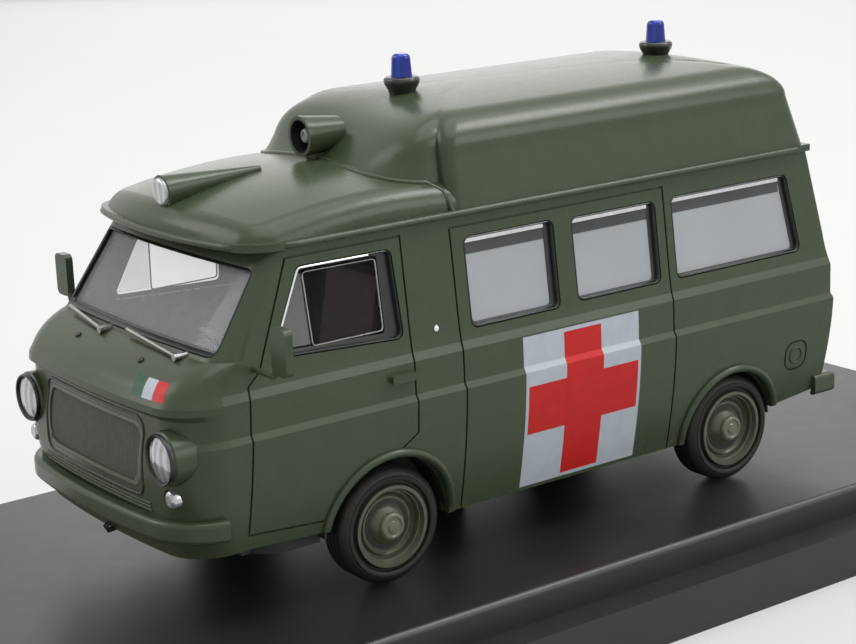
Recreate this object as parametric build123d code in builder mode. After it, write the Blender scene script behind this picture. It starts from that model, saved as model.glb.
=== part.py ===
# A 1:43 display model of a military ambulance van, screwed to its plinth.
# Millimetres. +X is the vehicle's left, -Y its front, +Z up.
# The origin is the centre of the plinth's underside.
import os

from build123d import *

os.makedirs("parts", exist_ok=True)

# Plinth
DECK_LENGTH = 171.0
DECK_WIDTH = 73.2
DECK_RISE = 4.0
RIM_HEIGHT = 6.5
RIM_LEDGE = 4.2
PLINTH_CORNER = 3.0
PLINTH_WALL = 2.4
DECK_THICKNESS = 2.6
DECK_EDGE = 0.8
BOSS_RADIUS = 4.5
SCREW_RADIUS = 1.4
SCREW_HEAD_RADIUS = 2.6
SCREW_HEAD_HEIGHT = 1.6
SCREW_LENGTH = 18.0
SCREW_PLACES = (-6.0, 12.0)

# Wheels and axles
WHEELBASE = 55.8
TYRE_RADIUS = 7.2
TYRE_WIDTH = 4.8
TYRE_SIDE_HEIGHT = 2.1
TYRE_SHOULDER = 0.9
TYRE_CLEARANCE = 0.15
WHEEL_FACE = 19.8
RIM_LIP = 0.45
RIM_DISH = 1.3
RIM_WELL = 3.3
RIM_RING = 3.7
RIM_RING_WIDTH = 0.5
RIM_RING_RISE = 0.35
CAP_RADIUS = 2.6
CAP_DOME = 1.4
AXLE_RADIUS = 0.9
BEARING_CLEARANCE = 0.08
HUB_RADIUS = 1.7

# Body
BODY_WALL = 1.3
GROOVE_WIDTH = 0.26
GROOVE_DEPTH = 0.3
FRONT_ARCH_RADIUS = 8.8
REAR_ARCH_RADIUS = 8.0
ARCH_LIP = 0.9
ARCH_FLARE = 0.35
WINDOW_CORNER = 1.0
RAIL_Z = 41.6
RAIL_HEIGHT = 0.9
RAIL_REACH = 0.45
PANE_DEPTH = 0.75
PANE_FIT = 0.04

# Cab roof
LIP_NOSE = -46.6
LIP_BOW = 3.0
LIP_CORNER = 4.6
CAB_CROWN_Z = 47.5
CAB_CROWN_Y = -24.0
CAB_CROWN_RADIUS = 88.0
CAB_SHOULDER = 3.2
CAB_ROOF_END = -14.0

# Raised roof
ROOF_BASE_HALF = 18.1
ROOF_TOP_HALF = 16.9
ROOF_NOSE = -19.0
ROOF_TAIL = 43.0
ROOF_TOP_Z = 54.3
ROOF_CROWN = 1.3
ROOF_CROWN_RADIUS = 110.0
ROOF_NOSE_RAKE = 0.8
ROOF_TAIL_RAKE = 1.6
ROOF_BROW = 7.5
ROOF_SHOULDER = 2.6
ROOF_WALL = 1.3

# Nose
GRILLE_TOP = 23.2
GRILLE_LOW = 15.5
GRILLE_TOP_HALF = 12.0
GRILLE_LOW_HALF = 11.4
GRILLE_CORNER = 1.7
GRILLE_FRAME = 0.5
GRILLE_SLATS = 17
SLAT_THICKNESS = 0.7
LAMP_X = 16.6
LAMP_Z = 20.1
LAMP_RADIUS = 3.2
LAMP_LENS_RADIUS = 2.55
LAMP_FRONT = -56.5
LAMP_LENGTH = 4.6
LAMP_EDGE = 0.4
LENS_DOME = 0.5
MARKER_X = 17.0
MARKER_Z = 15.4
MARKER_RADIUS = 1.15
MARKER_FRONT = -56.1
MARKER_LENGTH = 1.7
BUMPER_Z = 10.1
BUMPER_HEIGHT = 2.6
BUMPER_THICKNESS = 1.3
BUMPER_HALF = 21.2
BUMPER_NOSE = -58.1
BUMPER_BOW = 2.0
BUMPER_CORNER = 8.0
BUMPER_EDGE = 0.6
BUMPER_END = -50.7
IRON_X = 8.0
IRON_WIDTH = 2.0
IRON_HEIGHT = 0.9
IRON_SINK = 0.5

# Back and sides
REAR_BUMPER_Z = 7.4
REAR_BUMPER_HEIGHT = 2.8
REAR_BUMPER_HALF = 20.2
REAR_BUMPER_TAIL = 47.4
REAR_BUMPER_CORNER = 4.0
REAR_BUMPER_START = 43.6
TAIL_LAMP_X = 18.0
TAIL_LAMP_Z = 16.5
TAIL_LAMP_WIDTH = 2.2
TAIL_LAMP_HEIGHT = 5.0
TAIL_LAMP_FACE = 46.9
HANDLE_Y = -26.0
HANDLE_Z = 24.3
HANDLE_LENGTH = 3.8
HANDLE_HEIGHT = 0.9
HANDLE_FACE = 21.3
REAR_HANDLE_X = 2.8
FLAP_PLACE = (39.5, 14.1)
FLAP_WIDTH = 4.2
FLAP_HEIGHT = 4.2
FLAP_CORNER = 1.6

# Roof fittings
BEACONS = (("front", -9.9), ("rear", 33.0))
BEACON_FOOT_RADIUS = 1.3
BEACON_RIM_RADIUS = 1.95
BEACON_RIM = 0.5
BEACON_BASE_HEIGHT = 1.7
BEACON_LENS_RADIUS = 1.35
BEACON_LENS_HEIGHT = 2.9
BEACON_TAPER = 0.2
BEACON_DOME = 0.6
HORN_Y = -25.5
HORN_Z = 50.4
HORN_LENGTH = 5.6
HORN_MOUTH = 2.5
HORN_TAIL = 1.9
HORN_RIM = 0.5
HORN_WALL = 0.4
HORN_DEPTH = 3.6
HORN_CONE = 2.2
SPOT_Y = -44.9
SPOT_Z = 46.4
SPOT_RADIUS = 2.0
SPOT_RIM = 0.25
SPOT_LENGTH = 13.5
SPOT_TAIL = 0.4
SPOT_TAIL_Z = 47.3
SPOT_LENS_DEPTH = 1.2
SPOT_DOME = 0.5

# Wipers: foot of the post, tip of the blade
WIPERS = (
    ((-4.2, -51.6, 30.3), (-15.0, -50.6, 31.0)),
    ((13.0, -51.2, 30.3), (0.4, -51.0, 31.0)),
)
WIPER_SINK = 1.2
WIPER_STAND = 0.8
WIPER_POST_RADIUS = 0.45
WIPER_RADIUS = 0.22

# Mirrors
MIRROR_X = 26.0
MIRROR_Y = -45.7
MIRROR_Z = 32.3
MIRROR_WIDTH = 3.0
MIRROR_HEIGHT = 5.4
MIRROR_DEPTH = 1.0
MIRROR_FOOT = (19.2, -45.6, 29.0)
MIRROR_ELBOW = (24.4, -45.9, 29.2)
STALK_RADIUS = 0.35

# Inside
FLOOR_Z = 15.6
FLOOR_THICKNESS = 1.0
FLOOR_HALF = 18.9
FLOOR_NOSE = -55.0
FLOOR_TAIL = 44.0
WALL_Y = -19.4
WALL_EDGE = ((18.9, 16.0), (18.7, 26.0), (17.0, 39.8))
SEAT_X = 8.9
SEAT_WIDTH = 10.6
SEAT_SIDE = ((-36.0, 16.6), (-36.0, 23.6), (-27.0, 23.0), (-24.6, 35.4), (-22.2, 35.4), (-24.6, 16.6))
SEAT_EDGE = 0.8
DASH_SIDE = ((-51.4, 21.0), (-51.4, 28.4), (-47.4, 28.0), (-46.2, 25.0), (-47.6, 21.0))
DASH_HALF = 17.0
STEERING_X = 8.9
STEERING_Y = -42.4
STEERING_Z = 29.0
STEERING_RADIUS = 3.6
STEERING_RIM = 0.4
STEERING_FACE = (0, 0.62, 0.78)
COLUMN_LENGTH = 7.0

# Underside
CHASSIS_Z = 5.6
CHASSIS_THICKNESS = 1.4
CHASSIS_FIT = 0.1
CHASSIS_NOSE = -46.0
CHASSIS_TAIL = 36.6
CHASSIS_CORNER = 4.5
NOSE_BLOCK_END = -37.5
BLOCK_HALF = 15.0
BLOCK_HEIGHT = 4.6
WELL_HALF = 13.6
CARRIER_LENGTH = 4.4
POST_RADIUS = 2.8
EXHAUST_X = 7.0
EXHAUST_START = 42.0
EXHAUST_END = -20.0
EXHAUST_RADIUS = 0.7
SILENCER_START = 20.0
SILENCER_END = 6.0
SILENCER_WIDTH = 5.0
SILENCER_HEIGHT = 2.4
AXLE_HALF = 17.4
SCREW_SLOT = 0.6
BOSS_FOOT = 3.0
SCREEN_PLANE = -41.5

# Place of the van on the deck: to the left, to the back, and its datum's height above the deck
VAN_SIDE = 4.2
VAN_SHIFT = 5.6
VAN_LIFT = 1.35

PLINTH_HEIGHT = RIM_HEIGHT + DECK_RISE
AXLE_Z = TYRE_RADIUS + TYRE_CLEARANCE - VAN_LIFT
FRONT_AXLE_Y = -WHEELBASE / 2
REAR_AXLE_Y = WHEELBASE / 2
RAIL_TOP = RAIL_Z + RAIL_HEIGHT

# Body sections from the sill to the drip rail.
# Columns: height, half width, nose, tail, bow of the nose, nose corner radius
BODY_ROWS = (
    (5.4, 18.75, -54.8, 44.7, 1.2, 6.0),
    (9.0, 19.5, -55.7, 45.2, 1.2, 6.0),
    (14.5, 20.4, -56.7, 45.8, 1.2, 6.0),
    (21.1, 20.95, -56.4, 46.2, 1.2, 6.0),
    (21.8, 20.5, -56.25, 46.05, 1.2, 6.0),
    (24.3, 20.48, -56.2, 46.05, 1.2, 6.0),
    (25.0, 20.46, -57.1, 46.1, 1.4, 6.0),
    (25.8, 20.44, -57.0, 46.1, 1.4, 6.0),
    (26.8, 20.1, -56.4, 45.9, 1.4, 5.6),
    (28.2, 19.85, -55.2, 45.6, 1.3, 5.0),
    (29.4, 19.7, -53.2, 45.4, 1.1, 4.2),
    (30.2, 19.6, -51.0, 45.3, 0.9, 3.6),
    (RAIL_Z, 18.3, -42.9, 43.2, 0.8, 3.0),
)
# Rows that each smooth stretch of the body runs through: first, last
BODY_RUNS = ((0, 3), (3, 4), (4, 5), (5, 6), (6, 7), (7, 8), (8, 11), (11, 12))
TAIL_CORNER = 3.0

# Window corners along and up the side
DOOR_PANES = (((-43.4, 29.6), (-38.6, 39.5), (-25.6, 39.4), (-25.0, 28.6)),)
SIDE_PANES = (
    ((-15.2, 28.0), (-15.2, 39.1), (-1.2, 39.1), (-1.2, 28.0)),
    ((1.5, 28.3), (1.5, 38.9), (15.6, 38.9), (15.6, 28.3)),
    ((18.2, 28.3), (18.2, 39.0), (39.2, 39.0), (41.0, 28.3)),
)
# Window corners across and up the front and the back
SCREEN_PANES = (((-18.0, 30.6), (-17.1, 39.7), (17.1, 39.7), (18.0, 30.6)),)
REAR_PANES = (
    ((1.5, 28.6), (1.5, 38.6), (14.4, 38.6), (15.0, 28.6)),
    ((-1.5, 28.6), (-1.5, 38.6), (-14.4, 38.6), (-15.0, 28.6)),
)
# Door gaps along and up the side, then across and up the back
SIDE_GAPS = (
    (
        (-37.4, 9.0), (-47.6, 9.8), (-46.7, 27.2), (-45.0, 28.6),
        (-40.0, 40.6), (-24.2, 40.6), (-24.2, 17.2), (-26.4, 15.7),
    ),
    ((-17.0, 5.5), (-17.0, 40.4), (17.0, 40.4), (17.0, 5.5)),
)
REAR_GAPS = (
    ((-16.6, 10.2), (-16.6, 39.9), (16.6, 39.9), (16.6, 10.2), (-16.6, 10.2)),
    ((0, 10.2), (0, 39.9)),
)
# Underside of the body ahead of the front wheels and behind the rear wheels, along and up
NOSE_UNDERCUT = ((-62.0, 0), (-36.0, 0), (-36.0, 7.4), (-47.0, 8.0), (-62.0, 7.4))
TAIL_UNDERCUT = ((35.5, 0), (52.0, 0), (52.0, 8.4), (45.0, 8.4), (35.5, 7.3))
ARCHES = ((-1, FRONT_ARCH_RADIUS), (1, REAR_ARCH_RADIUS))
SIDES = (("left", 1), ("right", -1))


def level(height):
    """Level plane at a height of the van, centred between the axles."""
    return Plane(origin=spot(0, 0, height))


def across(place):
    """Upright plane across the van. Its normal points to the front."""
    return Plane(origin=spot(0, place, 0), x_dir=(1, 0, 0), z_dir=(0, -1, 0))


def along(place):
    """Upright plane along the van. Its normal points to the left."""
    return Plane(origin=spot(place, 0, 0), x_dir=(0, 1, 0), z_dir=(1, 0, 0))


def spot(x, y, height):
    """Point of the van in the part's frame."""
    return (VAN_SIDE + x, VAN_SHIFT + y, PLINTH_HEIGHT + VAN_LIFT + height)


def plan(height, half, nose, tail, bow, nose_corner, tail_corner):
    """Plan outline of the body: bowed nose, straight sides and tail, rounded corners."""
    with BuildSketch(level(height)) as outline:
        with BuildLine():
            ThreePointArc((-half, nose + bow), (0, nose), (half, nose + bow))
            Polyline((half, nose + bow), (half, tail), (-half, tail), (-half, nose + bow))
        make_face()
        corners = outline.vertices().sort_by(Axis.Y)
        fillet(corners[:2], nose_corner)
        fillet(corners[2:], tail_corner)
    return outline.sketch


def body_block(inset):
    """Solid body from sill to rail, drawn in by an inset."""
    with BuildPart() as block:
        for first, last in BODY_RUNS:
            rows = BODY_ROWS[first:last + 1]
            faces = [
                plan(z, half - inset, nose + inset, tail - inset, bow, corner - inset, TAIL_CORNER - inset)
                for z, half, nose, tail, bow, corner in rows
            ]
            loft(faces)
    return block.part


def cab_roof_block(inset):
    """Solid domed cab roof above the rail, drawn in by an inset."""
    half = BODY_ROWS[-1][1] - inset
    tail = CAB_ROOF_END + LIP_CORNER
    corner = LIP_CORNER - inset
    with BuildPart() as block:
        add(plan(RAIL_Z - CAB_SHOULDER, half, LIP_NOSE + inset, tail, LIP_BOW, corner, corner))
        extrude(amount=CAB_CROWN_Z)
        with Locations(spot(0, CAB_CROWN_Y, CAB_CROWN_Z - CAB_CROWN_RADIUS)):
            Sphere(CAB_CROWN_RADIUS - inset, rotation=(0, 90, 0), mode=Mode.INTERSECT)
        fillet(block.faces().filter_by(GeomType.SPHERE)[0].edges(), CAB_SHOULDER - inset)
        split(bisect_by=across(CAB_ROOF_END), keep=Keep.TOP)
        split(bisect_by=level(RAIL_Z), keep=Keep.TOP)
    return block.part


def raised_roof_block(inset):
    """Solid crowned roof above the rail, with raked ends and rounded sides, drawn in by an inset."""
    crown = ROOF_TOP_Z - inset
    nose = ROOF_NOSE + inset
    tail = ROOF_TAIL - inset
    root = RAIL_TOP - ROOF_BROW
    with BuildPart() as block:
        with BuildSketch(along(0)) as side_view:
            Polygon(
                (nose, root),
                (nose + ROOF_NOSE_RAKE, crown),
                (tail - ROOF_TAIL_RAKE, crown),
                (tail, root),
                align=None,
            )
            fillet(side_view.vertices().sort_by(Axis.Y)[2:], ROOF_BROW - inset)
        revolve(axis=Axis(spot(0, 0, ROOF_TOP_Z - ROOF_CROWN_RADIUS), (0, 1, 0)))
        with BuildSketch(across(tail)):
            base = ROOF_BASE_HALF - inset
            top = ROOF_TOP_HALF - inset
            Polygon((-base, RAIL_TOP), (base, RAIL_TOP), (top, ROOF_TOP_Z), (-top, ROOF_TOP_Z), align=None)
        extrude(amount=tail - nose, mode=Mode.INTERSECT)
        walls = block.faces().sort_by(Axis.X)
        edges = walls[0].edges() + walls[-1].edges()
        foot = edges.group_by(Axis.Z)[0]
        fillet([edge for edge in edges if edge not in foot], ROOF_SHOULDER - inset)
    return block.part


def pane(plane, corners, fit):
    """Rounded window outline on a plane, drawn in by a fit."""
    with BuildSketch(plane) as opening:
        Polygon(*corners, align=None)
        fillet(opening.vertices(), WINDOW_CORNER)
        if fit:
            offset(amount=-fit, mode=Mode.REPLACE)
    return opening.sketch


def rod(start, end, radius):
    """Round bar between two points of the van."""
    low = Vector(*spot(*start))
    high = Vector(*spot(*end))
    with BuildPart() as bar:
        with BuildSketch(Plane(origin=low, z_dir=high - low)):
            Circle(radius)
        extrude(amount=(high - low).length)
    return bar.part


def dome(rim, rise, radius, way):
    """Arc of a ball cap, from its rim to its top on the axis."""
    curve = (radius ** 2 + rise ** 2) / (2 * rise)
    half_rise = rise - curve + (curve ** 2 - radius ** 2 / 4) ** 0.5
    ThreePointArc((rim, radius), (rim + way * half_rise, radius / 2), (rim + way * rise, 0))


def turned(profile, x, height):
    """Solid turned about a line along the van, from a profile of places and radii."""
    with BuildPart() as piece:
        with BuildSketch(Plane(origin=spot(x, 0, height), x_dir=(0, 1, 0), z_dir=(1, 0, 0))):
            Polygon(*profile, align=None)
        revolve(axis=Axis(spot(x, 0, height), (0, 1, 0)))
    return piece.part


def upright(profile, place):
    """Solid turned about an upright line on the van's centre, from a profile of radii and heights."""
    with BuildPart() as piece:
        with BuildSketch(along(0)):
            Polygon(*[(place + radius, height) for radius, height in profile], align=None)
        revolve(axis=Axis(spot(0, place, 0), (0, 0, 1)))
    return piece.part


body_outer = body_block(0)
body_skin = body_block(GROOVE_DEPTH)
body_back = body_block(GROOVE_DEPTH + SLAT_THICKNESS)
body_inner = body_block(BODY_WALL)
cab_outer = cab_roof_block(0)
roof_outer = raised_roof_block(0)
REACH = DECK_WIDTH / 2
FORWARD = (0, -1, 0)
LEFTWARD = (1, 0, 0)

# Thin shells that the window panes and the grille slats are cut from
with BuildPart() as pane_shell:
    add(body_block(PANE_DEPTH))
    add(body_inner, mode=Mode.SUBTRACT)

with BuildPart() as slat_shell:
    add(body_skin)
    add(body_back, mode=Mode.SUBTRACT)

# Wheel arch lips, standing a little out from the body side
with BuildPart() as arch_lips:
    with BuildSketch(along(0)):
        for end, radius in ARCHES:
            with Locations((end * WHEELBASE / 2, AXLE_Z)):
                Circle(radius + ARCH_LIP)
                Circle(radius, mode=Mode.SUBTRACT)
    extrude(amount=REACH, both=True)
    add(body_block(-ARCH_FLARE), mode=Mode.INTERSECT)
    add(body_inner, mode=Mode.SUBTRACT)

# Door gaps, as deep as the groove depth
with BuildPart() as gap_tool:
    with BuildSketch(along(0)):
        for corners in SIDE_GAPS:
            with BuildLine():
                Polyline(*corners)
            trace(line_width=GROOVE_WIDTH)
    extrude(amount=REACH, both=True)
    with BuildSketch(across(REAR_AXLE_Y)):
        for corners in REAR_GAPS:
            with BuildLine():
                Polyline(*corners)
            trace(line_width=GROOVE_WIDTH)
    extrude(amount=-REACH)
    with BuildSketch(along(0)):
        with Locations(FLAP_PLACE):
            RectangleRounded(FLAP_WIDTH, FLAP_HEIGHT, FLAP_CORNER)
            offset(amount=-GROOVE_WIDTH, mode=Mode.SUBTRACT)
    extrude(amount=REACH)
    add(body_skin, mode=Mode.SUBTRACT)


def grille_outline(inset):
    """Grille outline across the nose, drawn in by an inset."""
    top = (GRILLE_TOP_HALF - inset, GRILLE_TOP - inset)
    low = (GRILLE_LOW_HALF - inset, GRILLE_LOW + inset)
    with BuildSketch(across(FRONT_AXLE_Y)) as outline:
        Polygon((-low[0], low[1]), low, top, (-top[0], top[1]), align=None)
        fillet(outline.vertices(), GRILLE_CORNER)
    return outline.sketch


# The body is one casting: hollow, with its window openings, arches, lamp holes and door gaps.
with BuildPart() as body_casting:
    add(body_outer)
    add(arch_lips.part)
    half = BODY_ROWS[-1][1] + RAIL_REACH
    nose = LIP_NOSE - RAIL_REACH
    tail = BODY_ROWS[-1][3] + RAIL_REACH
    add(plan(RAIL_Z, half, nose, tail, LIP_BOW, LIP_CORNER, TAIL_CORNER))
    extrude(amount=RAIL_HEIGHT)
    add(cab_outer)
    add(body_inner, mode=Mode.SUBTRACT)
    add(cab_roof_block(BODY_WALL), mode=Mode.SUBTRACT)
    with BuildSketch(level(RAIL_Z)):
        with Locations((0, (CAB_ROOF_END + ROOF_TAIL) / 2)):
            Rectangle(2 * (ROOF_BASE_HALF - ROOF_WALL), ROOF_TAIL - CAB_ROOF_END - 2 * ROOF_WALL)
    extrude(amount=RAIL_HEIGHT, mode=Mode.SUBTRACT)
    for corners in DOOR_PANES + SIDE_PANES:
        extrude(pane(along(-REACH), corners, 0), amount=2 * REACH, dir=LEFTWARD, mode=Mode.SUBTRACT)
    for corners in SCREEN_PANES:
        extrude(pane(across(SCREEN_PLANE), corners, 0), amount=REACH, dir=FORWARD, mode=Mode.SUBTRACT)
    for corners in REAR_PANES:
        extrude(pane(across(REAR_AXLE_Y), corners, 0), amount=-REACH, dir=FORWARD, mode=Mode.SUBTRACT)
    extrude(grille_outline(0), amount=REACH, dir=FORWARD, mode=Mode.SUBTRACT)
    with BuildSketch(across(FRONT_AXLE_Y)):
        for name, side in SIDES:
            with Locations((side * LAMP_X, LAMP_Z)):
                Circle(LAMP_RADIUS)
            with Locations((side * MARKER_X, MARKER_Z)):
                Circle(MARKER_RADIUS)
    extrude(amount=REACH, mode=Mode.SUBTRACT)
    with BuildSketch(along(0)):
        for end, radius in ARCHES:
            with Locations((end * WHEELBASE / 2, AXLE_Z)):
                Circle(radius)
        Polygon(*NOSE_UNDERCUT, align=None)
        Polygon(*TAIL_UNDERCUT, align=None)
    extrude(amount=REACH, both=True, mode=Mode.SUBTRACT)
    add(gap_tool.part, mode=Mode.SUBTRACT)
body_casting.part.label = "body_casting"
export_step(body_casting.part, "parts/body_casting.step")

with BuildPart() as raised_roof:
    add(roof_outer)
    add(raised_roof_block(ROOF_WALL), mode=Mode.SUBTRACT)
    add(cab_outer, mode=Mode.SUBTRACT)
raised_roof.part.label = "raised_roof"
export_step(raised_roof.part, "parts/raised_roof.step")

# Panes, curved like the wall they sit in
for name, side in SIDES:
    with BuildPart() as door_glazing:
        for corners in DOOR_PANES:
            extrude(pane(along(0), corners, PANE_FIT), amount=side * REACH, dir=LEFTWARD)
        add(pane_shell.part, mode=Mode.INTERSECT)
    door_glazing.part.label = "door_glazing_" + name
    export_step(door_glazing.part, "parts/door_glazing_" + name + ".step")

    with BuildPart() as side_glazing:
        for corners in SIDE_PANES:
            extrude(pane(along(0), corners, PANE_FIT), amount=side * REACH, dir=LEFTWARD)
        add(pane_shell.part, mode=Mode.INTERSECT)
    side_glazing.part.label = "side_glazing_" + name
    export_step(side_glazing.part, "parts/side_glazing_" + name + ".step")

with BuildPart() as windscreen:
    for corners in SCREEN_PANES:
        extrude(pane(across(SCREEN_PLANE), corners, PANE_FIT), amount=REACH, dir=FORWARD)
    add(pane_shell.part, mode=Mode.INTERSECT)
windscreen.part.label = "windscreen"
export_step(windscreen.part, "parts/windscreen.step")

with BuildPart() as rear_glazing:
    for corners in REAR_PANES:
        extrude(pane(across(REAR_AXLE_Y), corners, PANE_FIT), amount=-REACH, dir=FORWARD)
    add(pane_shell.part, mode=Mode.INTERSECT)
rear_glazing.part.label = "rear_glazing"
export_step(rear_glazing.part, "parts/rear_glazing.step")

# Grille: a frame flush with the nose, a back plate and level slats between them
with BuildPart() as grille_slats:
    with BuildSketch(across(FRONT_AXLE_Y)):
        pitch = (GRILLE_TOP - GRILLE_LOW) / GRILLE_SLATS
        for slat in range(GRILLE_SLATS):
            with Locations((0, GRILLE_LOW + pitch * (slat + 0.5))):
                Rectangle(2 * GRILLE_LOW_HALF, pitch / 2)
    extrude(amount=REACH)
    extrude(grille_outline(GRILLE_FRAME), amount=REACH, dir=FORWARD, mode=Mode.INTERSECT)
    add(slat_shell.part, mode=Mode.INTERSECT)

with BuildPart() as grille_mouth:
    extrude(grille_outline(GRILLE_FRAME), amount=REACH, dir=FORWARD)
    add(body_back, mode=Mode.SUBTRACT)

with BuildPart() as grille:
    extrude(grille_outline(PANE_FIT), amount=REACH, dir=FORWARD)
    add(body_outer, mode=Mode.INTERSECT)
    add(body_inner, mode=Mode.SUBTRACT)
    add(grille_mouth.part, mode=Mode.SUBTRACT)
    add(grille_slats.part)
grille.part.label = "grille"
export_step(grille.part, "parts/grille.step")

# Bumpers: bowed bars that wrap the corners, on two short irons each
with BuildPart() as front_bumper:
    add(plan(BUMPER_Z, BUMPER_HALF, BUMPER_NOSE, -BUMPER_NOSE, BUMPER_BOW, BUMPER_CORNER, BUMPER_CORNER))
    extrude(amount=BUMPER_HEIGHT)
    fillet(front_bumper.edges().filter_by(Plane.XY), BUMPER_EDGE)
    half = BUMPER_HALF - BUMPER_THICKNESS
    nose = BUMPER_NOSE + BUMPER_THICKNESS
    corner = BUMPER_CORNER - BUMPER_THICKNESS
    add(plan(0, half, nose, -nose, BUMPER_BOW, corner, corner))
    extrude(amount=REACH, mode=Mode.SUBTRACT)
    split(bisect_by=across(BUMPER_END), keep=Keep.TOP)
    with BuildSketch(level(BUMPER_Z + (BUMPER_HEIGHT - IRON_HEIGHT) / 2)):
        for name, side in SIDES:
            with Locations((side * IRON_X, (CHASSIS_NOSE + nose - IRON_SINK) / 2)):
                Rectangle(IRON_WIDTH, CHASSIS_NOSE - nose + IRON_SINK)
    extrude(amount=IRON_HEIGHT)
    add(body_outer, mode=Mode.SUBTRACT)
front_bumper.part.label = "front_bumper"
export_step(front_bumper.part, "parts/front_bumper.step")

with BuildPart() as rear_bumper:
    half = REAR_BUMPER_HALF
    tail = REAR_BUMPER_TAIL
    corner = REAR_BUMPER_CORNER
    add(plan(REAR_BUMPER_Z, half, -tail, tail, BUMPER_BOW, BUMPER_CORNER, corner))
    extrude(amount=REAR_BUMPER_HEIGHT)
    fillet(rear_bumper.edges().filter_by(Plane.XY), BUMPER_EDGE)
    half = REAR_BUMPER_HALF - BUMPER_THICKNESS
    tail = REAR_BUMPER_TAIL - BUMPER_THICKNESS
    corner = REAR_BUMPER_CORNER - BUMPER_THICKNESS
    add(plan(0, half, -tail, tail, BUMPER_BOW, BUMPER_CORNER, corner))
    extrude(amount=REACH, mode=Mode.SUBTRACT)
    split(bisect_by=across(REAR_BUMPER_START), keep=Keep.BOTTOM)
    with BuildSketch(level(REAR_BUMPER_Z + (REAR_BUMPER_HEIGHT - IRON_HEIGHT) / 2)):
        for name, side in SIDES:
            with Locations((side * IRON_X, (CHASSIS_TAIL + tail + IRON_SINK) / 2)):
                Rectangle(IRON_WIDTH, tail - CHASSIS_TAIL + IRON_SINK)
    extrude(amount=IRON_HEIGHT)
    add(body_outer, mode=Mode.SUBTRACT)
rear_bumper.part.label = "rear_bumper"
export_step(rear_bumper.part, "parts/rear_bumper.step")

# Lamps of the nose: bezels through the casting, domed lenses inside them
lamp_back = LAMP_FRONT + LAMP_LENGTH
with BuildPart() as headlamp_bezels:
    for name, side in SIDES:
        profile = (
            (LAMP_FRONT + LAMP_EDGE, LAMP_RADIUS - PANE_FIT),
            (lamp_back, LAMP_RADIUS - PANE_FIT),
            (lamp_back, LAMP_LENS_RADIUS),
            (LAMP_FRONT, LAMP_LENS_RADIUS),
            (LAMP_FRONT, LAMP_RADIUS - PANE_FIT - LAMP_EDGE),
        )
        add(turned(profile, side * LAMP_X, LAMP_Z))
headlamp_bezels.part.label = "headlamp_bezels"
export_step(headlamp_bezels.part, "parts/headlamp_bezels.step")

with BuildPart() as headlamp_lenses:
    for name, side in SIDES:
        radius = LAMP_LENS_RADIUS - PANE_FIT
        with BuildSketch(Plane(origin=spot(side * LAMP_X, 0, LAMP_Z), x_dir=(0, 1, 0), z_dir=(1, 0, 0))):
            with BuildLine():
                dome(LAMP_FRONT, LENS_DOME, radius, -1)
                Polyline(
                    (LAMP_FRONT, radius),
                    (lamp_back, radius),
                    (lamp_back, 0),
                    (LAMP_FRONT - LENS_DOME, 0),
                )
            make_face()
        revolve(axis=Axis(spot(side * LAMP_X, 0, LAMP_Z), (0, 1, 0)))
headlamp_lenses.part.label = "headlamp_lenses"
export_step(headlamp_lenses.part, "parts/headlamp_lenses.step")

with BuildPart() as marker_lamps:
    for name, side in SIDES:
        radius = MARKER_RADIUS - PANE_FIT
        back = MARKER_FRONT + MARKER_LENGTH
        profile = ((MARKER_FRONT, 0), (MARKER_FRONT, radius), (back, radius), (back, 0))
        add(turned(profile, side * MARKER_X, MARKER_Z))
    fillet(marker_lamps.edges().group_by(Axis.Y)[0], MARKER_RADIUS / 2)
marker_lamps.part.label = "marker_lamps"
export_step(marker_lamps.part, "parts/marker_lamps.step")

with BuildPart() as tail_lamps:
    with BuildSketch(across(REAR_AXLE_Y)):
        for name, side in SIDES:
            with Locations((side * TAIL_LAMP_X, TAIL_LAMP_Z)):
                RectangleRounded(TAIL_LAMP_WIDTH, TAIL_LAMP_HEIGHT, TAIL_LAMP_WIDTH / 3)
    extrude(amount=-(TAIL_LAMP_FACE - REAR_AXLE_Y))
    add(body_outer, mode=Mode.SUBTRACT)
tail_lamps.part.label = "tail_lamps"
export_step(tail_lamps.part, "parts/tail_lamps.step")

with BuildPart() as door_handles:
    with BuildSketch(along(0)):
        with Locations((HANDLE_Y, HANDLE_Z)):
            RectangleRounded(HANDLE_LENGTH, HANDLE_HEIGHT, HANDLE_HEIGHT / 3)
    extrude(amount=HANDLE_FACE, both=True)
    with BuildSketch(across(REAR_AXLE_Y)):
        with Locations((REAR_HANDLE_X, HANDLE_Z)):
            RectangleRounded(HANDLE_LENGTH, HANDLE_HEIGHT, HANDLE_HEIGHT / 3)
    extrude(amount=-(TAIL_LAMP_FACE - REAR_AXLE_Y))
    add(body_outer, mode=Mode.SUBTRACT)
door_handles.part.label = "door_handles"
export_step(door_handles.part, "parts/door_handles.step")

# Wipers lying along the foot of the windscreen: a post and a blade each
with BuildPart() as wipers:
    for (x, y, z), tip in WIPERS:
        add(rod((x, y + WIPER_SINK, z), (x, y - WIPER_STAND, z), WIPER_POST_RADIUS))
        add(rod((x, y - WIPER_STAND / 2, z), tip, WIPER_RADIUS))
    add(body_outer, mode=Mode.SUBTRACT)
wipers.part.label = "wipers"
export_step(wipers.part, "parts/wipers.step")

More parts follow.
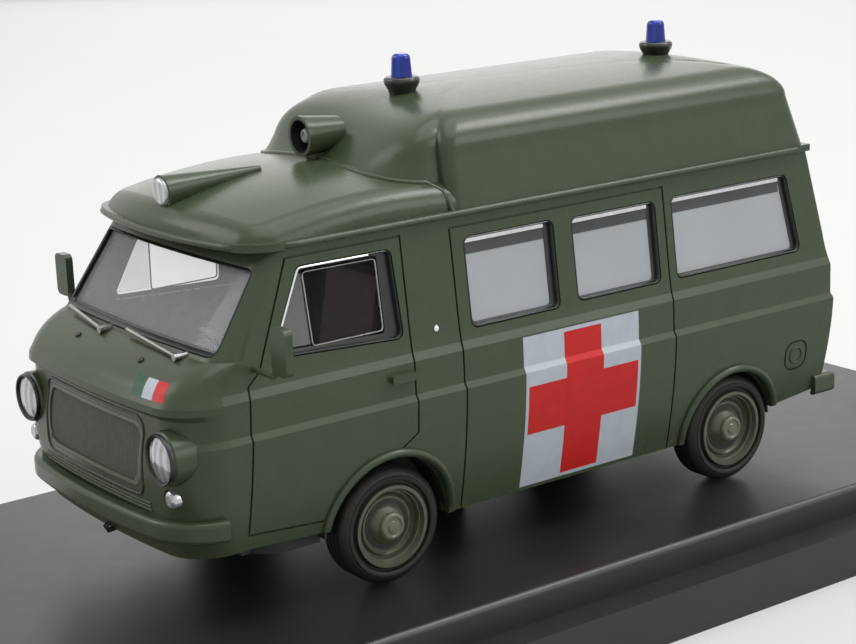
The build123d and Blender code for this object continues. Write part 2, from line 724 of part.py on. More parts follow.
# Door mirrors on bent stalks
for name, side in SIDES:
    with BuildPart() as door_mirror:
        with BuildSketch(across(MIRROR_Y)):
            with Locations((side * MIRROR_X, MIRROR_Z)):
                RectangleRounded(MIRROR_WIDTH, MIRROR_HEIGHT, MIRROR_WIDTH / 4)
        extrude(amount=MIRROR_DEPTH / 2, both=True)
        elbow = (side * MIRROR_ELBOW[0], MIRROR_ELBOW[1], MIRROR_ELBOW[2])
        add(rod((side * MIRROR_FOOT[0], MIRROR_FOOT[1], MIRROR_FOOT[2]), elbow, STALK_RADIUS))
        add(rod(elbow, (side * MIRROR_X, MIRROR_Y, MIRROR_Z), STALK_RADIUS))
        add(body_outer, mode=Mode.SUBTRACT)
    door_mirror.part.label = "mirror_" + name
    export_step(door_mirror.part, "parts/mirror_" + name + ".step")

# Beacons: a dark bowl seated on the roof and a blue lens in it
for name, place in BEACONS:
    rim = ROOF_TOP_Z + BEACON_BASE_HEIGHT
    with BuildPart() as beacon_base:
        profile = (
            (0, ROOF_TOP_Z - ROOF_CROWN),
            (BEACON_FOOT_RADIUS, ROOF_TOP_Z - ROOF_CROWN),
            (BEACON_FOOT_RADIUS, ROOF_TOP_Z + BEACON_BASE_HEIGHT / 3),
            (BEACON_RIM_RADIUS, rim - BEACON_RIM),
            (BEACON_RIM_RADIUS, rim),
            (0, rim),
        )
        add(upright(profile, place))
        add(roof_outer, mode=Mode.SUBTRACT)
    beacon_base.part.label = "beacon_base_" + name
    export_step(beacon_base.part, "parts/beacon_base_" + name + ".step")

    with BuildPart() as beacon_lens:
        profile = (
            (0, rim),
            (BEACON_LENS_RADIUS, rim),
            (BEACON_LENS_RADIUS - BEACON_TAPER, rim + BEACON_LENS_HEIGHT),
            (0, rim + BEACON_LENS_HEIGHT),
        )
        add(upright(profile, place))
        fillet(beacon_lens.edges().group_by(Axis.Z)[-1], BEACON_DOME)
    beacon_lens.part.label = "beacon_lens_" + name
    export_step(beacon_lens.part, "parts/beacon_lens_" + name + ".step")

# Siren horn on the cab roof, open at the front with a cone inside
with BuildPart() as siren_horn:
    profile = (
        (HORN_Y, HORN_MOUTH),
        (HORN_Y + HORN_RIM, HORN_MOUTH),
        (HORN_Y + HORN_LENGTH, HORN_TAIL),
        (HORN_Y + HORN_LENGTH, 0),
        (HORN_Y + HORN_DEPTH, 0),
        (HORN_Y + HORN_DEPTH, HORN_TAIL - HORN_WALL),
        (HORN_Y, HORN_MOUTH - HORN_WALL),
    )
    add(turned(profile, 0, HORN_Z))
    with BuildSketch(level(CAB_CROWN_Z - CAB_SHOULDER)):
        with Locations((0, HORN_Y + HORN_LENGTH / 2)):
            Rectangle(HORN_TAIL, HORN_LENGTH / 2)
    extrude(amount=HORN_Z - HORN_MOUTH / 2 - HORN_TAIL / 2 - CAB_CROWN_Z + CAB_SHOULDER)
    add(cab_outer, mode=Mode.SUBTRACT)
    add(roof_outer, mode=Mode.SUBTRACT)
siren_horn.part.label = "siren_horn"
export_step(siren_horn.part, "parts/siren_horn.step")

with BuildPart() as siren_cone:
    base = HORN_Y + HORN_DEPTH
    tip = base - HORN_CONE
    profile = ((base, 0), (base, HORN_TAIL - HORN_WALL - PANE_FIT), (tip, HORN_RIM), (tip, 0))
    add(turned(profile, 0, HORN_Z))
siren_cone.part.label = "siren_cone"
export_step(siren_cone.part, "parts/siren_cone.step")

# Spotlight on the cab roof: a lens at the front of a tapered fairing
spot_head = Vector(*spot(0, SPOT_Y, SPOT_Z))
spot_foot = Vector(*spot(0, SPOT_Y + SPOT_LENGTH, SPOT_TAIL_Z))
spot_line = (spot_foot - spot_head).normalized()
with BuildPart() as spotlight_fairing:
    with BuildSketch(Plane(origin=spot_head, z_dir=spot_line)):
        Circle(SPOT_RADIUS)
    with BuildSketch(Plane(origin=spot_foot, z_dir=spot_line)):
        Circle(SPOT_TAIL)
    loft()
    with BuildSketch(Plane(origin=spot_head, z_dir=spot_line)):
        Circle(SPOT_RADIUS - SPOT_RIM)
    extrude(amount=SPOT_LENS_DEPTH, mode=Mode.SUBTRACT)
    add(cab_outer, mode=Mode.SUBTRACT)
spotlight_fairing.part.label = "spotlight_fairing"
export_step(spotlight_fairing.part, "parts/spotlight_fairing.step")

with BuildPart() as spotlight_lens:
    with BuildSketch(Plane(origin=spot_head + spot_line * SPOT_LENS_DEPTH, z_dir=-spot_line)):
        Circle(SPOT_RADIUS - SPOT_RIM - PANE_FIT)
    extrude(amount=SPOT_LENS_DEPTH + SPOT_DOME)
    fillet(spotlight_lens.edges().group_by(Axis.Y)[0], SPOT_DOME)
    add(cab_outer, mode=Mode.SUBTRACT)
spotlight_lens.part.label = "spotlight_lens"
export_step(spotlight_lens.part, "parts/spotlight_lens.step")

# Underside of the van: a plate inside the sills, a block under the nose, axle carriers, exhaust,
# and the posts that stand on the deck
with BuildPart() as chassis_base:
    half = BODY_ROWS[0][1] - BODY_WALL - CHASSIS_FIT
    add(plan(CHASSIS_Z, half, CHASSIS_NOSE, CHASSIS_TAIL, BODY_ROWS[0][4], CHASSIS_CORNER, CHASSIS_CORNER))
    extrude(amount=CHASSIS_THICKNESS)
    with BuildSketch(level(CHASSIS_Z)):
        with Locations((0, (CHASSIS_NOSE + NOSE_BLOCK_END) / 2)):
            Rectangle(2 * BLOCK_HALF, NOSE_BLOCK_END - CHASSIS_NOSE)
    extrude(amount=BLOCK_HEIGHT)
    with BuildSketch(level(CHASSIS_Z)):
        for axle_y in (FRONT_AXLE_Y, REAR_AXLE_Y):
            for name, side in SIDES:
                with Locations((side * (WELL_HALF + REACH) / 2, axle_y)):
                    Rectangle(REACH - WELL_HALF, 2 * FRONT_ARCH_RADIUS)
    extrude(amount=BLOCK_HEIGHT, mode=Mode.SUBTRACT)
    with BuildSketch(level(AXLE_Z - CARRIER_LENGTH / 2)):
        for axle_y in (FRONT_AXLE_Y, REAR_AXLE_Y):
            with Locations((0, axle_y)):
                Rectangle(2 * WELL_HALF, CARRIER_LENGTH)
    extrude(amount=CARRIER_LENGTH)
    with BuildSketch(level(-VAN_LIFT)):
        for place in SCREW_PLACES:
            with Locations((0, place)):
                Circle(POST_RADIUS)
    extrude(amount=CHASSIS_Z + VAN_LIFT)
    with BuildSketch(across(EXHAUST_START)):
        with Locations((-EXHAUST_X, CHASSIS_Z)):
            Circle(EXHAUST_RADIUS)
    extrude(amount=EXHAUST_START - EXHAUST_END)
    with BuildSketch(across(SILENCER_START)):
        with Locations((-EXHAUST_X, CHASSIS_Z)):
            RectangleRounded(SILENCER_WIDTH, SILENCER_HEIGHT, SILENCER_HEIGHT / 3)
    extrude(amount=SILENCER_START - SILENCER_END)
    with BuildSketch(along(0)):
        for axle_y in (FRONT_AXLE_Y, REAR_AXLE_Y):
            with Locations((axle_y, AXLE_Z)):
                Circle(AXLE_RADIUS + BEARING_CLEARANCE)
    extrude(amount=REACH, both=True, mode=Mode.SUBTRACT)
    with BuildSketch(level(-VAN_LIFT)):
        for place in SCREW_PLACES:
            with Locations((0, place)):
                Circle(SCREW_RADIUS)
    extrude(amount=REACH, mode=Mode.SUBTRACT)
chassis_base.part.label = "chassis_base"
export_step(chassis_base.part, "parts/chassis_base.step")

# Floor of the cab and load space on two legs, with the wall behind the seats
with BuildPart() as interior_tub:
    add(plan(FLOOR_Z, FLOOR_HALF, FLOOR_NOSE, FLOOR_TAIL, BODY_ROWS[0][4], CHASSIS_CORNER, TAIL_CORNER))
    extrude(amount=FLOOR_THICKNESS)
    with BuildSketch(across(WALL_Y)):
        Polygon(*[(side * x, z) for side in (1, -1) for x, z in WALL_EDGE[::side]], align=None)
    extrude(amount=FLOOR_THICKNESS)
    with BuildSketch(level(CHASSIS_Z + CHASSIS_THICKNESS)):
        for place in SCREW_PLACES:
            with Locations((0, place)):
                Circle(POST_RADIUS)
                Circle(SCREW_RADIUS, mode=Mode.SUBTRACT)
    extrude(amount=FLOOR_Z - CHASSIS_Z - CHASSIS_THICKNESS)
interior_tub.part.label = "interior_tub"
export_step(interior_tub.part, "parts/interior_tub.step")

with BuildPart() as cab_seats:
    with BuildSketch(along(0)):
        Polygon(*SEAT_SIDE, align=None)
    extrude(amount=SEAT_X + SEAT_WIDTH / 2, both=True)
    with BuildSketch(level(FLOOR_Z)):
        Rectangle(2 * SEAT_X - SEAT_WIDTH, DECK_LENGTH)
    extrude(amount=REACH, mode=Mode.SUBTRACT)
    fillet(cab_seats.edges().filter_by(Axis.X).group_by(Axis.Z)[1:], SEAT_EDGE)
cab_seats.part.label = "cab_seats"
export_step(cab_seats.part, "parts/cab_seats.step")

with BuildPart() as dashboard:
    with BuildSketch(along(0)):
        Polygon(*DASH_SIDE, align=None)
    extrude(amount=DASH_HALF, both=True)
    fillet(dashboard.edges().filter_by(Axis.X).sort_by(Axis.Z)[-1], SEAT_EDGE)
dashboard.part.label = "dashboard"
export_step(dashboard.part, "parts/dashboard.step")

# Steering wheel: rim, two spokes, boss, and the column into the dashboard
wheel_centre = spot(STEERING_X, STEERING_Y, STEERING_Z)
wheel_plane = Plane(origin=wheel_centre, x_dir=(1, 0, 0), z_dir=STEERING_FACE)
with BuildPart() as steering_wheel:
    with Locations(wheel_plane.location):
        Torus(STEERING_RADIUS, STEERING_RIM)
        Cylinder(2 * STEERING_RIM, 2 * STEERING_RIM)
        Box(2 * STEERING_RADIUS, 2 * STEERING_RIM, STEERING_RIM)
    with BuildSketch(wheel_plane):
        Circle(STEERING_RIM)
    extrude(amount=-COLUMN_LENGTH)
    add(dashboard.part, mode=Mode.SUBTRACT)
steering_wheel.part.label = "steering_wheel"
export_step(steering_wheel.part, "parts/steering_wheel.step")

# Wheels: on each axle a steel pin, two dished rims with domed caps and two tyres
inner_face = WHEEL_FACE - TYRE_WIDTH
bead = TYRE_RADIUS - TYRE_SIDE_HEIGHT
TYRE_PROFILE = (
    (inner_face, bead),
    (inner_face, TYRE_RADIUS - TYRE_SHOULDER),
    (inner_face + TYRE_SHOULDER, TYRE_RADIUS),
    (WHEEL_FACE - TYRE_SHOULDER, TYRE_RADIUS),
    (WHEEL_FACE, TYRE_RADIUS - TYRE_SHOULDER),
    (WHEEL_FACE, bead),
)
dish = WHEEL_FACE - RIM_DISH
for name, axle_y in (("front", FRONT_AXLE_Y), ("rear", REAR_AXLE_Y)):
    axle_plane = Plane(origin=spot(0, axle_y, AXLE_Z), x_dir=(1, 0, 0), z_dir=(0, -1, 0))
    axle_line = Axis(spot(0, axle_y, AXLE_Z), (1, 0, 0))
    with BuildPart() as axle:
        with BuildSketch(Plane(origin=spot(0, axle_y, AXLE_Z), x_dir=(0, 1, 0), z_dir=(1, 0, 0))):
            Circle(AXLE_RADIUS)
        extrude(amount=AXLE_HALF, both=True)
    axle.part.label = name + "_axle"
    export_step(axle.part, "parts/" + name + "_axle.step")

    with BuildPart() as rims:
        with BuildSketch(axle_plane):
            with BuildLine():
                Polyline(
                    (dish + CAP_DOME, 0),
                    (AXLE_HALF, 0),
                    (AXLE_HALF, AXLE_RADIUS),
                    (inner_face, AXLE_RADIUS),
                    (inner_face, HUB_RADIUS),
                    (inner_face + RIM_WELL, bead - RIM_LIP),
                    (inner_face, bead - RIM_LIP),
                    (inner_face, bead - PANE_FIT),
                    (WHEEL_FACE, bead - PANE_FIT),
                    (WHEEL_FACE, bead - RIM_LIP),
                    (dish, bead - 2 * RIM_LIP),
                    (dish, RIM_RING + RIM_RING_WIDTH / 2),
                    (dish + RIM_RING_RISE, RIM_RING),
                    (dish, RIM_RING - RIM_RING_WIDTH / 2),
                    (dish, CAP_RADIUS),
                )
                dome(dish, CAP_DOME, CAP_RADIUS, 1)
            make_face()
        revolve(axis=axle_line)
        mirror(about=along(0))
    rims.part.label = name + "_rims"
    export_step(rims.part, "parts/" + name + "_rims.step")

    with BuildPart() as tyres:
        with BuildSketch(axle_plane) as section:
            Polygon(*TYRE_PROFILE, align=None)
            fillet(section.vertices().sort_by(Axis.Y)[2:], TYRE_SHOULDER / 2)
        revolve(axis=axle_line)
        mirror(about=along(0))
    tyres.part.label = name + "_tyres"
    export_step(tyres.part, "parts/" + name + "_tyres.step")

# Plinth: a deck standing on a wider rim, hollow below, with two screw bosses
with BuildPart() as plinth:
    with BuildSketch():
        RectangleRounded(DECK_WIDTH + 2 * RIM_LEDGE, DECK_LENGTH + 2 * RIM_LEDGE, PLINTH_CORNER + RIM_LEDGE)
    extrude(amount=RIM_HEIGHT)
    with BuildSketch():
        RectangleRounded(DECK_WIDTH, DECK_LENGTH, PLINTH_CORNER)
    extrude(amount=PLINTH_HEIGHT)
    fillet(plinth.faces().sort_by(Axis.Z)[-1].edges(), DECK_EDGE)
    with BuildSketch():
        RectangleRounded(DECK_WIDTH - 2 * PLINTH_WALL, DECK_LENGTH - 2 * PLINTH_WALL, PLINTH_CORNER / 2)
    extrude(amount=PLINTH_HEIGHT - DECK_THICKNESS, mode=Mode.SUBTRACT)
    with BuildSketch(Plane.XY.offset(BOSS_FOOT)):
        for place in SCREW_PLACES:
            with Locations((VAN_SIDE, VAN_SHIFT + place)):
                Circle(BOSS_RADIUS)
    extrude(amount=PLINTH_HEIGHT - DECK_THICKNESS - BOSS_FOOT)
    with BuildSketch():
        for place in SCREW_PLACES:
            with Locations((VAN_SIDE, VAN_SHIFT + place)):
                Circle(SCREW_RADIUS)
    extrude(amount=PLINTH_HEIGHT, mode=Mode.SUBTRACT)
plinth.part.label = "plinth"
export_step(plinth.part, "parts/plinth.step")

with BuildPart() as mounting_screws:
    with BuildSketch(Plane.XY.offset(BOSS_FOOT - SCREW_HEAD_HEIGHT)):
        for place in SCREW_PLACES:
            with Locations((VAN_SIDE, VAN_SHIFT + place)):
                Circle(SCREW_HEAD_RADIUS)
    extrude(amount=SCREW_HEAD_HEIGHT)
    with BuildSketch(Plane.XY.offset(BOSS_FOOT)):
        for place in SCREW_PLACES:
            with Locations((VAN_SIDE, VAN_SHIFT + place)):
                Circle(SCREW_RADIUS - PANE_FIT)
    extrude(amount=SCREW_LENGTH)
    with BuildSketch(Plane.XY.offset(BOSS_FOOT - SCREW_HEAD_HEIGHT)):
        for place in SCREW_PLACES:
            with Locations((VAN_SIDE, VAN_SHIFT + place)):
                Rectangle(SCREW_SLOT, SCREW_HEAD_RADIUS)
                Rectangle(SCREW_HEAD_RADIUS, SCREW_SLOT)
    extrude(amount=SCREW_HEAD_HEIGHT / 2, mode=Mode.SUBTRACT)
mounting_screws.part.label = "mounting_screws"
export_step(mounting_screws.part, "parts/mounting_screws.step")
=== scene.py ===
"""Looks of the ambulance van model: paint, glass, rubber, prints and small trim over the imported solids."""

import math

import bmesh
import bpy
from mathutils import Matrix, Vector
from mathutils.bvhtree import BVHTree


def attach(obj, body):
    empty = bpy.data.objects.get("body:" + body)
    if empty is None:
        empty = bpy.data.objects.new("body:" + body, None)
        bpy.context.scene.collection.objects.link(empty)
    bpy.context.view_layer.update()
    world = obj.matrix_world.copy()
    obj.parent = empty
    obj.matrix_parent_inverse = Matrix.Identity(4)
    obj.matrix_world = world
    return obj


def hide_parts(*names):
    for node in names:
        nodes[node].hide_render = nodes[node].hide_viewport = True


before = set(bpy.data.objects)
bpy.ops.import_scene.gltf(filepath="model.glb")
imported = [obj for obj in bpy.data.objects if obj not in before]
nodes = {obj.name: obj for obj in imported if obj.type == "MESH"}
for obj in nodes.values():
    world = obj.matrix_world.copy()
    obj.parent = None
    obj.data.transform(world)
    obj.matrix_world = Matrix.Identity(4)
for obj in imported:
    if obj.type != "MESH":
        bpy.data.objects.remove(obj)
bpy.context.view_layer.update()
scene = bpy.context.scene

MM = 0.001
# The van's own origin in the frame, midway between its axles, in millimetres
ORIGIN = Vector((4.2, 5.6, 11.85))
AXLE_Z = 6.0
AXLES = (("front", -27.9), ("rear", 27.9))
LEFT = Vector((1, 0, 0))
RIGHT = Vector((-1, 0, 0))
FRONT = Vector((0, -1, 0))
BACK = Vector((0, 1, 0))


def at(x, y, z):
    """Point of the van, in millimetres, as metres in the frame."""
    return (ORIGIN + Vector((x, y, z))) * MM


# Materials

# The middle of a cloudy value's range, which colours and gloss run over
CLOUD_MIDDLE = (0.3, 0.7)
# How much finer the gloss and the relief of a coat are than the mottle of its colour
GLOSS_FINENESS = 2.3
RELIEF_FINENESS = 2.0
RELIEF_DEPTH = 0.05
GLAZING_GLOSS = (0.02, 0.05)
GLAZING_GRAIN = 60
GLAZING_PEEL = 0.002
GLAZING_IOR = 1.49
LENS_GLOSS = (0.06, 0.16)
LENS_GRAIN = 400
LENS_IOR = 1.45
RIB_STRENGTH = 0.35
RIB_DEPTH = 0.1


def new_material(name):
    """Empty material with its node tree, its shader and object coordinates."""
    material = bpy.data.materials.new(name)
    material.use_nodes = True
    tree = material.node_tree
    place = tree.nodes.new("ShaderNodeTexCoord")
    return material, tree, tree.nodes["Principled BSDF"], place.outputs["Object"]


def noise(tree, place, scale, detail=3.0):
    """Cloudy value between 0 and 1; the scale is in waves a metre."""
    node = tree.nodes.new("ShaderNodeTexNoise")
    node.inputs["Scale"].default_value = scale
    node.inputs["Detail"].default_value = detail
    tree.links.new(place, node.inputs["Vector"])
    return node.outputs["Fac"]


def ramp(tree, value, low, high):
    """Colour that runs from low to high over the middle of a value's range."""
    node = tree.nodes.new("ShaderNodeValToRGB")
    first, last = node.color_ramp.elements
    first.position, last.position = CLOUD_MIDDLE
    first.color = (*low, 1)
    last.color = (*high, 1)
    tree.links.new(value, node.inputs["Fac"])
    return node.outputs["Color"]


def spread(tree, value, low, high):
    """Number that runs from low to high over the middle of a value's range."""
    node = tree.nodes.new("ShaderNodeMapRange")
    node.inputs["From Min"].default_value = CLOUD_MIDDLE[0]
    node.inputs["From Max"].default_value = CLOUD_MIDDLE[1]
    node.inputs["To Min"].default_value = low
    node.inputs["To Max"].default_value = high
    tree.links.new(value, node.inputs["Value"])
    return node.outputs["Result"]


def bump(tree, value, shader, strength, depth):
    """Surface relief from a value; the depth is in millimetres."""
    node = tree.nodes.new("ShaderNodeBump")
    node.inputs["Strength"].default_value = strength
    node.inputs["Distance"].default_value = depth * MM
    tree.links.new(value, node.inputs["Height"])
    tree.links.new(node.outputs["Normal"], shader.inputs["Normal"])


def coated(name, low, high, gloss, grain, peel=0.05, metal=0.0, shine=0.5):
    """Paint, plastic or metal: two close shades in a fine mottle, uneven gloss and a slight surface grain.

    The gloss is a range of roughness, the grain is in waves a metre, and peel is the strength of the relief.
    """
    material, tree, shader, place = new_material(name)
    mottle = noise(tree, place, grain)
    haze = noise(tree, place, grain * GLOSS_FINENESS)
    relief = noise(tree, place, grain * RELIEF_FINENESS, 1.0)
    tree.links.new(ramp(tree, mottle, low, high), shader.inputs["Base Color"])
    tree.links.new(spread(tree, haze, *gloss), shader.inputs["Roughness"])
    bump(tree, relief, shader, peel, RELIEF_DEPTH)
    shader.inputs["Metallic"].default_value = metal
    shader.inputs["Specular IOR Level"].default_value = shine
    return material


def clear(name, low, high, alpha):
    """Clear moulded glazing: thin, glossy and mostly see-through."""
    material = coated(name, low, high, GLAZING_GLOSS, GLAZING_GRAIN, GLAZING_PEEL)
    shader = material.node_tree.nodes["Principled BSDF"]
    shader.inputs["Alpha"].default_value = alpha
    shader.inputs["IOR"].default_value = GLAZING_IOR
    return material


def ribbed(name, low, high, ribs, metal, see_through, coat=0.6):
    """Lamp lens with fine upright ribs; the ribs are counted in waves a metre."""
    material, tree, shader, place = new_material(name)
    bands = tree.nodes.new("ShaderNodeTexWave")
    bands.bands_direction = "X"
    bands.inputs["Scale"].default_value = ribs
    tree.links.new(place, bands.inputs["Vector"])
    tree.links.new(ramp(tree, bands.outputs["Fac"], low, high), shader.inputs["Base Color"])
    tree.links.new(spread(tree, noise(tree, place, LENS_GRAIN), *LENS_GLOSS), shader.inputs["Roughness"])
    bump(tree, bands.outputs["Fac"], shader, RIB_STRENGTH, RIB_DEPTH)
    shader.inputs["Metallic"].default_value = metal
    shader.inputs["Transmission Weight"].default_value = see_through
    shader.inputs["IOR"].default_value = LENS_IOR
    shader.inputs["Coat Weight"].default_value = coat
    return material


olive = coated(
    "olive_paint", (0.042, 0.058, 0.030), (0.047, 0.064, 0.034), (0.26, 0.28), 300, 0.001, shine=0.3
)
olive_rim = coated("olive_rim", (0.060, 0.068, 0.042), (0.084, 0.092, 0.058), (0.26, 0.38), 700, 0.05)
hub_olive = coated("hub_olive", (0.105, 0.110, 0.070), (0.135, 0.140, 0.092), (0.24, 0.34), 900, 0.04)
grille_olive = coated("grille_olive", (0.085, 0.098, 0.070), (0.100, 0.115, 0.084), (0.4, 0.5), 900, 0.04)
plinth_black = coated("plinth_black", (0.008, 0.008, 0.008), (0.012, 0.012, 0.012), (0.37, 0.40), 160, 0.006)
under_black = coated("underside_black", (0.008, 0.008, 0.007), (0.016, 0.016, 0.014), (0.5, 0.7), 600, 0.1)
satin_black = coated("dark_plastic", (0.006, 0.006, 0.006), (0.014, 0.014, 0.014), (0.28, 0.42), 900, 0.06)
bowl_black = coated("bowl_black", (0.016, 0.016, 0.012), (0.026, 0.026, 0.020), (0.2, 0.3), 900, 0.03)
rubber = coated(
    "tyre_rubber", (0.008, 0.008, 0.007), (0.014, 0.014, 0.012), (0.5, 0.62), 900, 0.1, shine=0.35
)
steel = coated("bright_steel", (0.50, 0.50, 0.50), (0.62, 0.62, 0.61), (0.18, 0.3), 1500, 0.04, metal=1.0)
chrome = coated("bright_trim", (0.66, 0.67, 0.68), (0.76, 0.77, 0.78), (0.10, 0.2), 1200, 0.02, metal=1.0)
mirror_grey = coated(
    "mirror_grey", (0.45, 0.47, 0.48), (0.55, 0.57, 0.58), (0.04, 0.08), 800, 0.01, metal=1.0
)
grey_inside = coated("inside_grey", (0.06, 0.062, 0.06), (0.09, 0.092, 0.09), (0.5, 0.65), 500, 0.1)
dash_grey = coated("dash_grey", (0.10, 0.10, 0.10), (0.15, 0.15, 0.15), (0.45, 0.6), 700, 0.12)
seat_brown = coated("seat_brown", (0.045, 0.014, 0.010), (0.080, 0.026, 0.018), (0.45, 0.6), 900, 0.2)
white_print = coated("white_print", (0.39, 0.43, 0.48), (0.44, 0.48, 0.53), (0.3, 0.42), 700, 0.03, shine=0.3)
red_print = coated(
    "red_print", (0.47, 0.009, 0.009), (0.53, 0.012, 0.011), (0.32, 0.42), 700, 0.03, shine=0.25
)
green_print = coated(
    "green_print", (0.012, 0.065, 0.030), (0.018, 0.085, 0.040), (0.32, 0.42), 700, 0.03, shine=0.25
)
red_lens = ribbed("red_lens", (0.30, 0.012, 0.008), (0.42, 0.022, 0.014), 300, 0.0, 0.2)
blue_lens = ribbed("blue_lens", (0.001, 0.016, 0.24), (0.002, 0.040, 0.44), 350, 0.0, 0.0, 0.05)
lamp_lens = ribbed("lamp_lens", (0.34, 0.36, 0.36), (0.52, 0.54, 0.54), 260, 0.6, 0.0)
# Windscreen glass: pale and partly opaque, a painted reflection of a grey studio laid over the view through
# it
screen_painted_reflection = clear("screen_painted_reflection", (0.80, 0.81, 0.84), (0.84, 0.85, 0.88), 0.16)
vent_glass = clear("vent_glass", (0.60, 0.60, 0.62), (0.64, 0.64, 0.66), 0.14)
door_glass = clear("door_glass", (0.05, 0.055, 0.055), (0.07, 0.075, 0.075), 0.08)
cone_grey = coated("cone_grey", (0.22, 0.23, 0.21), (0.30, 0.31, 0.28), (0.3, 0.4), 900, 0.04)
wiper_steel = coated(
    "wiper_steel", (0.30, 0.31, 0.30), (0.38, 0.39, 0.38), (0.25, 0.35), 1200, 0.02, metal=1.0
)
milky_pane = coated("milky_pane", (0.34, 0.36, 0.38), (0.37, 0.39, 0.41), (0.12, 0.2), 90, 0.02)
dark_strip_pane = coated("dark_strip_pane", (0.045, 0.047, 0.045), (0.06, 0.062, 0.06), (0.12, 0.2), 90, 0.02)

FINISHES = {
    "plinth": plinth_black, "mounting_screws": steel, "chassis_base": under_black, "body_casting": olive,
    "raised_roof": olive, "interior_tub": grey_inside, "cab_seats": seat_brown, "dashboard": dash_grey,
    "steering_wheel": satin_black, "windscreen": screen_painted_reflection, "door_glazing_left": door_glass,
    "door_glazing_right": door_glass, "side_glazing_left": milky_pane, "side_glazing_right": milky_pane,
    "rear_glazing": milky_pane, "grille": grille_olive, "front_bumper": olive, "rear_bumper": olive,
    "headlamp_bezels": olive, "headlamp_lenses": lamp_lens, "marker_lamps": lamp_lens, "tail_lamps": red_lens,
    "door_handles": olive, "wipers": wiper_steel, "mirror_left": olive, "mirror_right": olive,
    "beacon_base_front": satin_black, "beacon_base_rear": satin_black, "beacon_lens_front": blue_lens,
    "beacon_lens_rear": blue_lens, "siren_horn": olive, "siren_cone": cone_grey, "spotlight_fairing": olive,
    "spotlight_lens": lamp_lens, "front_axle": steel, "rear_axle": steel, "front_rims": olive_rim,
    "rear_rims": olive_rim, "front_tyres": rubber, "rear_tyres": rubber,
}
for name, material in FINISHES.items():
    nodes[name].data.materials.clear()
    nodes[name].data.materials.append(material)


# Surfaces that prints and trim lie on

# Distance from the van's middle at which a search of its walls starts
OUTSIDE = 90


def surface_of(piece):
    """Search tree of a piece's surface."""
    mesh = piece.data
    return BVHTree.FromPolygons([v.co for v in mesh.vertices], [p.vertices for p in mesh.polygons])


def on_wall(surface, facing, run, z):
    """Point and normal of a wall that faces a way, at a place along it and a height; None where it ends."""
    along = Vector((abs(facing.y), abs(facing.x), 0))
    start = at(0, 0, z) + (along * run + facing * OUTSIDE) * MM
    point, normal, *_ = surface.ray_cast(start, -facing)
    return point, normal


def steps(low, high, count):
    """Evenly spaced values from low to high."""
    return [low + (high - low) * i / count for i in range(count + 1)]


# Mesh builders

FILM_LIFT = 0.03
FILM_SUNK = -0.02


def add_piece(name, shape, material, body="van"):
    """Turns a bmesh into a piece that rides on a body."""
    bmesh.ops.recalc_face_normals(shape, faces=shape.faces)
    mesh = bpy.data.meshes.new(name)
    shape.to_mesh(mesh)
    shape.free()
    mesh.materials.append(material)
    piece = bpy.data.objects.new(name, mesh)
    scene.collection.objects.link(piece)
    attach(piece, body)
    return piece


def skin_rings(shape, rings, closed):
    """Faces between closed rings of points; closed joins the last ring to the first."""
    corners = [[shape.verts.new(point) for point in ring] for ring in rings]
    pairs = list(zip(corners, corners[1:]))
    if closed:
        pairs.append((corners[-1], corners[0]))
    for one, two in pairs:
        for i in range(len(one)):
            shape.faces.new((one[i - 1], one[i], two[i], two[i - 1]))
    return corners


def smooth(piece, angle=40):
    """Smooth shading, with edges sharper than an angle kept crisp."""
    for face in piece.data.polygons:
        face.use_smooth = True
    piece.data.set_sharp_from_angle(angle=math.radians(angle))
    return piece


def film(name, rows, material, lift=FILM_LIFT):
    """Thin print lying on a surface, from rows of points with their normals."""
    shape = bmesh.new()
    top, low = [
        [[shape.verts.new(point + normal * height * MM) for point, normal in row] for row in rows]
        for height in (lift, FILM_SUNK)
    ]
    tall, wide = len(rows), len(rows[0])
    for i in range(tall - 1):
        for j in range(wide - 1):
            shape.faces.new((top[i][j], top[i][j + 1], top[i + 1][j + 1], top[i + 1][j]))
            shape.faces.new((low[i][j], low[i + 1][j], low[i + 1][j + 1], low[i][j + 1]))
    edge = [(0, j) for j in range(wide)] + [(i, wide - 1) for i in range(1, tall)]
    edge += [(tall - 1, j) for j in range(wide - 2, -1, -1)] + [(i, 0) for i in range(tall - 2, 0, -1)]
    for (a, b), (c, d) in zip(edge, edge[1:] + edge[:1]):
        shape.faces.new((top[a][b], low[a][b], low[c][d], top[c][d]))
    return add_piece(name, shape, material)


def tube(shape, points, radius, sides=10):
    """Round bar through points, with closed ends."""
    turns = [2 * math.pi * k / sides for k in range(sides)]
    one = (points[1] - points[0]).orthogonal()
    rings = []
    for i, point in enumerate(points):
        way = (points[min(i + 1, len(points) - 1)] - points[max(i - 1, 0)]).normalized()
        one = (one - way * one.dot(way)).normalized()
        two = way.cross(one)
        rings.append([point + (one * math.cos(t) + two * math.sin(t)) * radius * MM for t in turns])
    corners = skin_rings(shape, rings, False)
    shape.faces.new(corners[0])
    shape.faces.new(corners[-1])


def lathe(shape, profile, centre, axis, closed=True, segments=72):
    """Turned form from a profile of places along an axis and radii, in millimetres."""
    side = axis.orthogonal().normalized()
    other = axis.cross(side)
    turns = [2 * math.pi * k / segments for k in range(segments)]
    rings = [
        [centre + (axis * place + (side * math.cos(t) + other * math.sin(t)) * radius) * MM for t in turns]
        for place, radius in profile
    ]
    return skin_rings(shape, rings, closed)


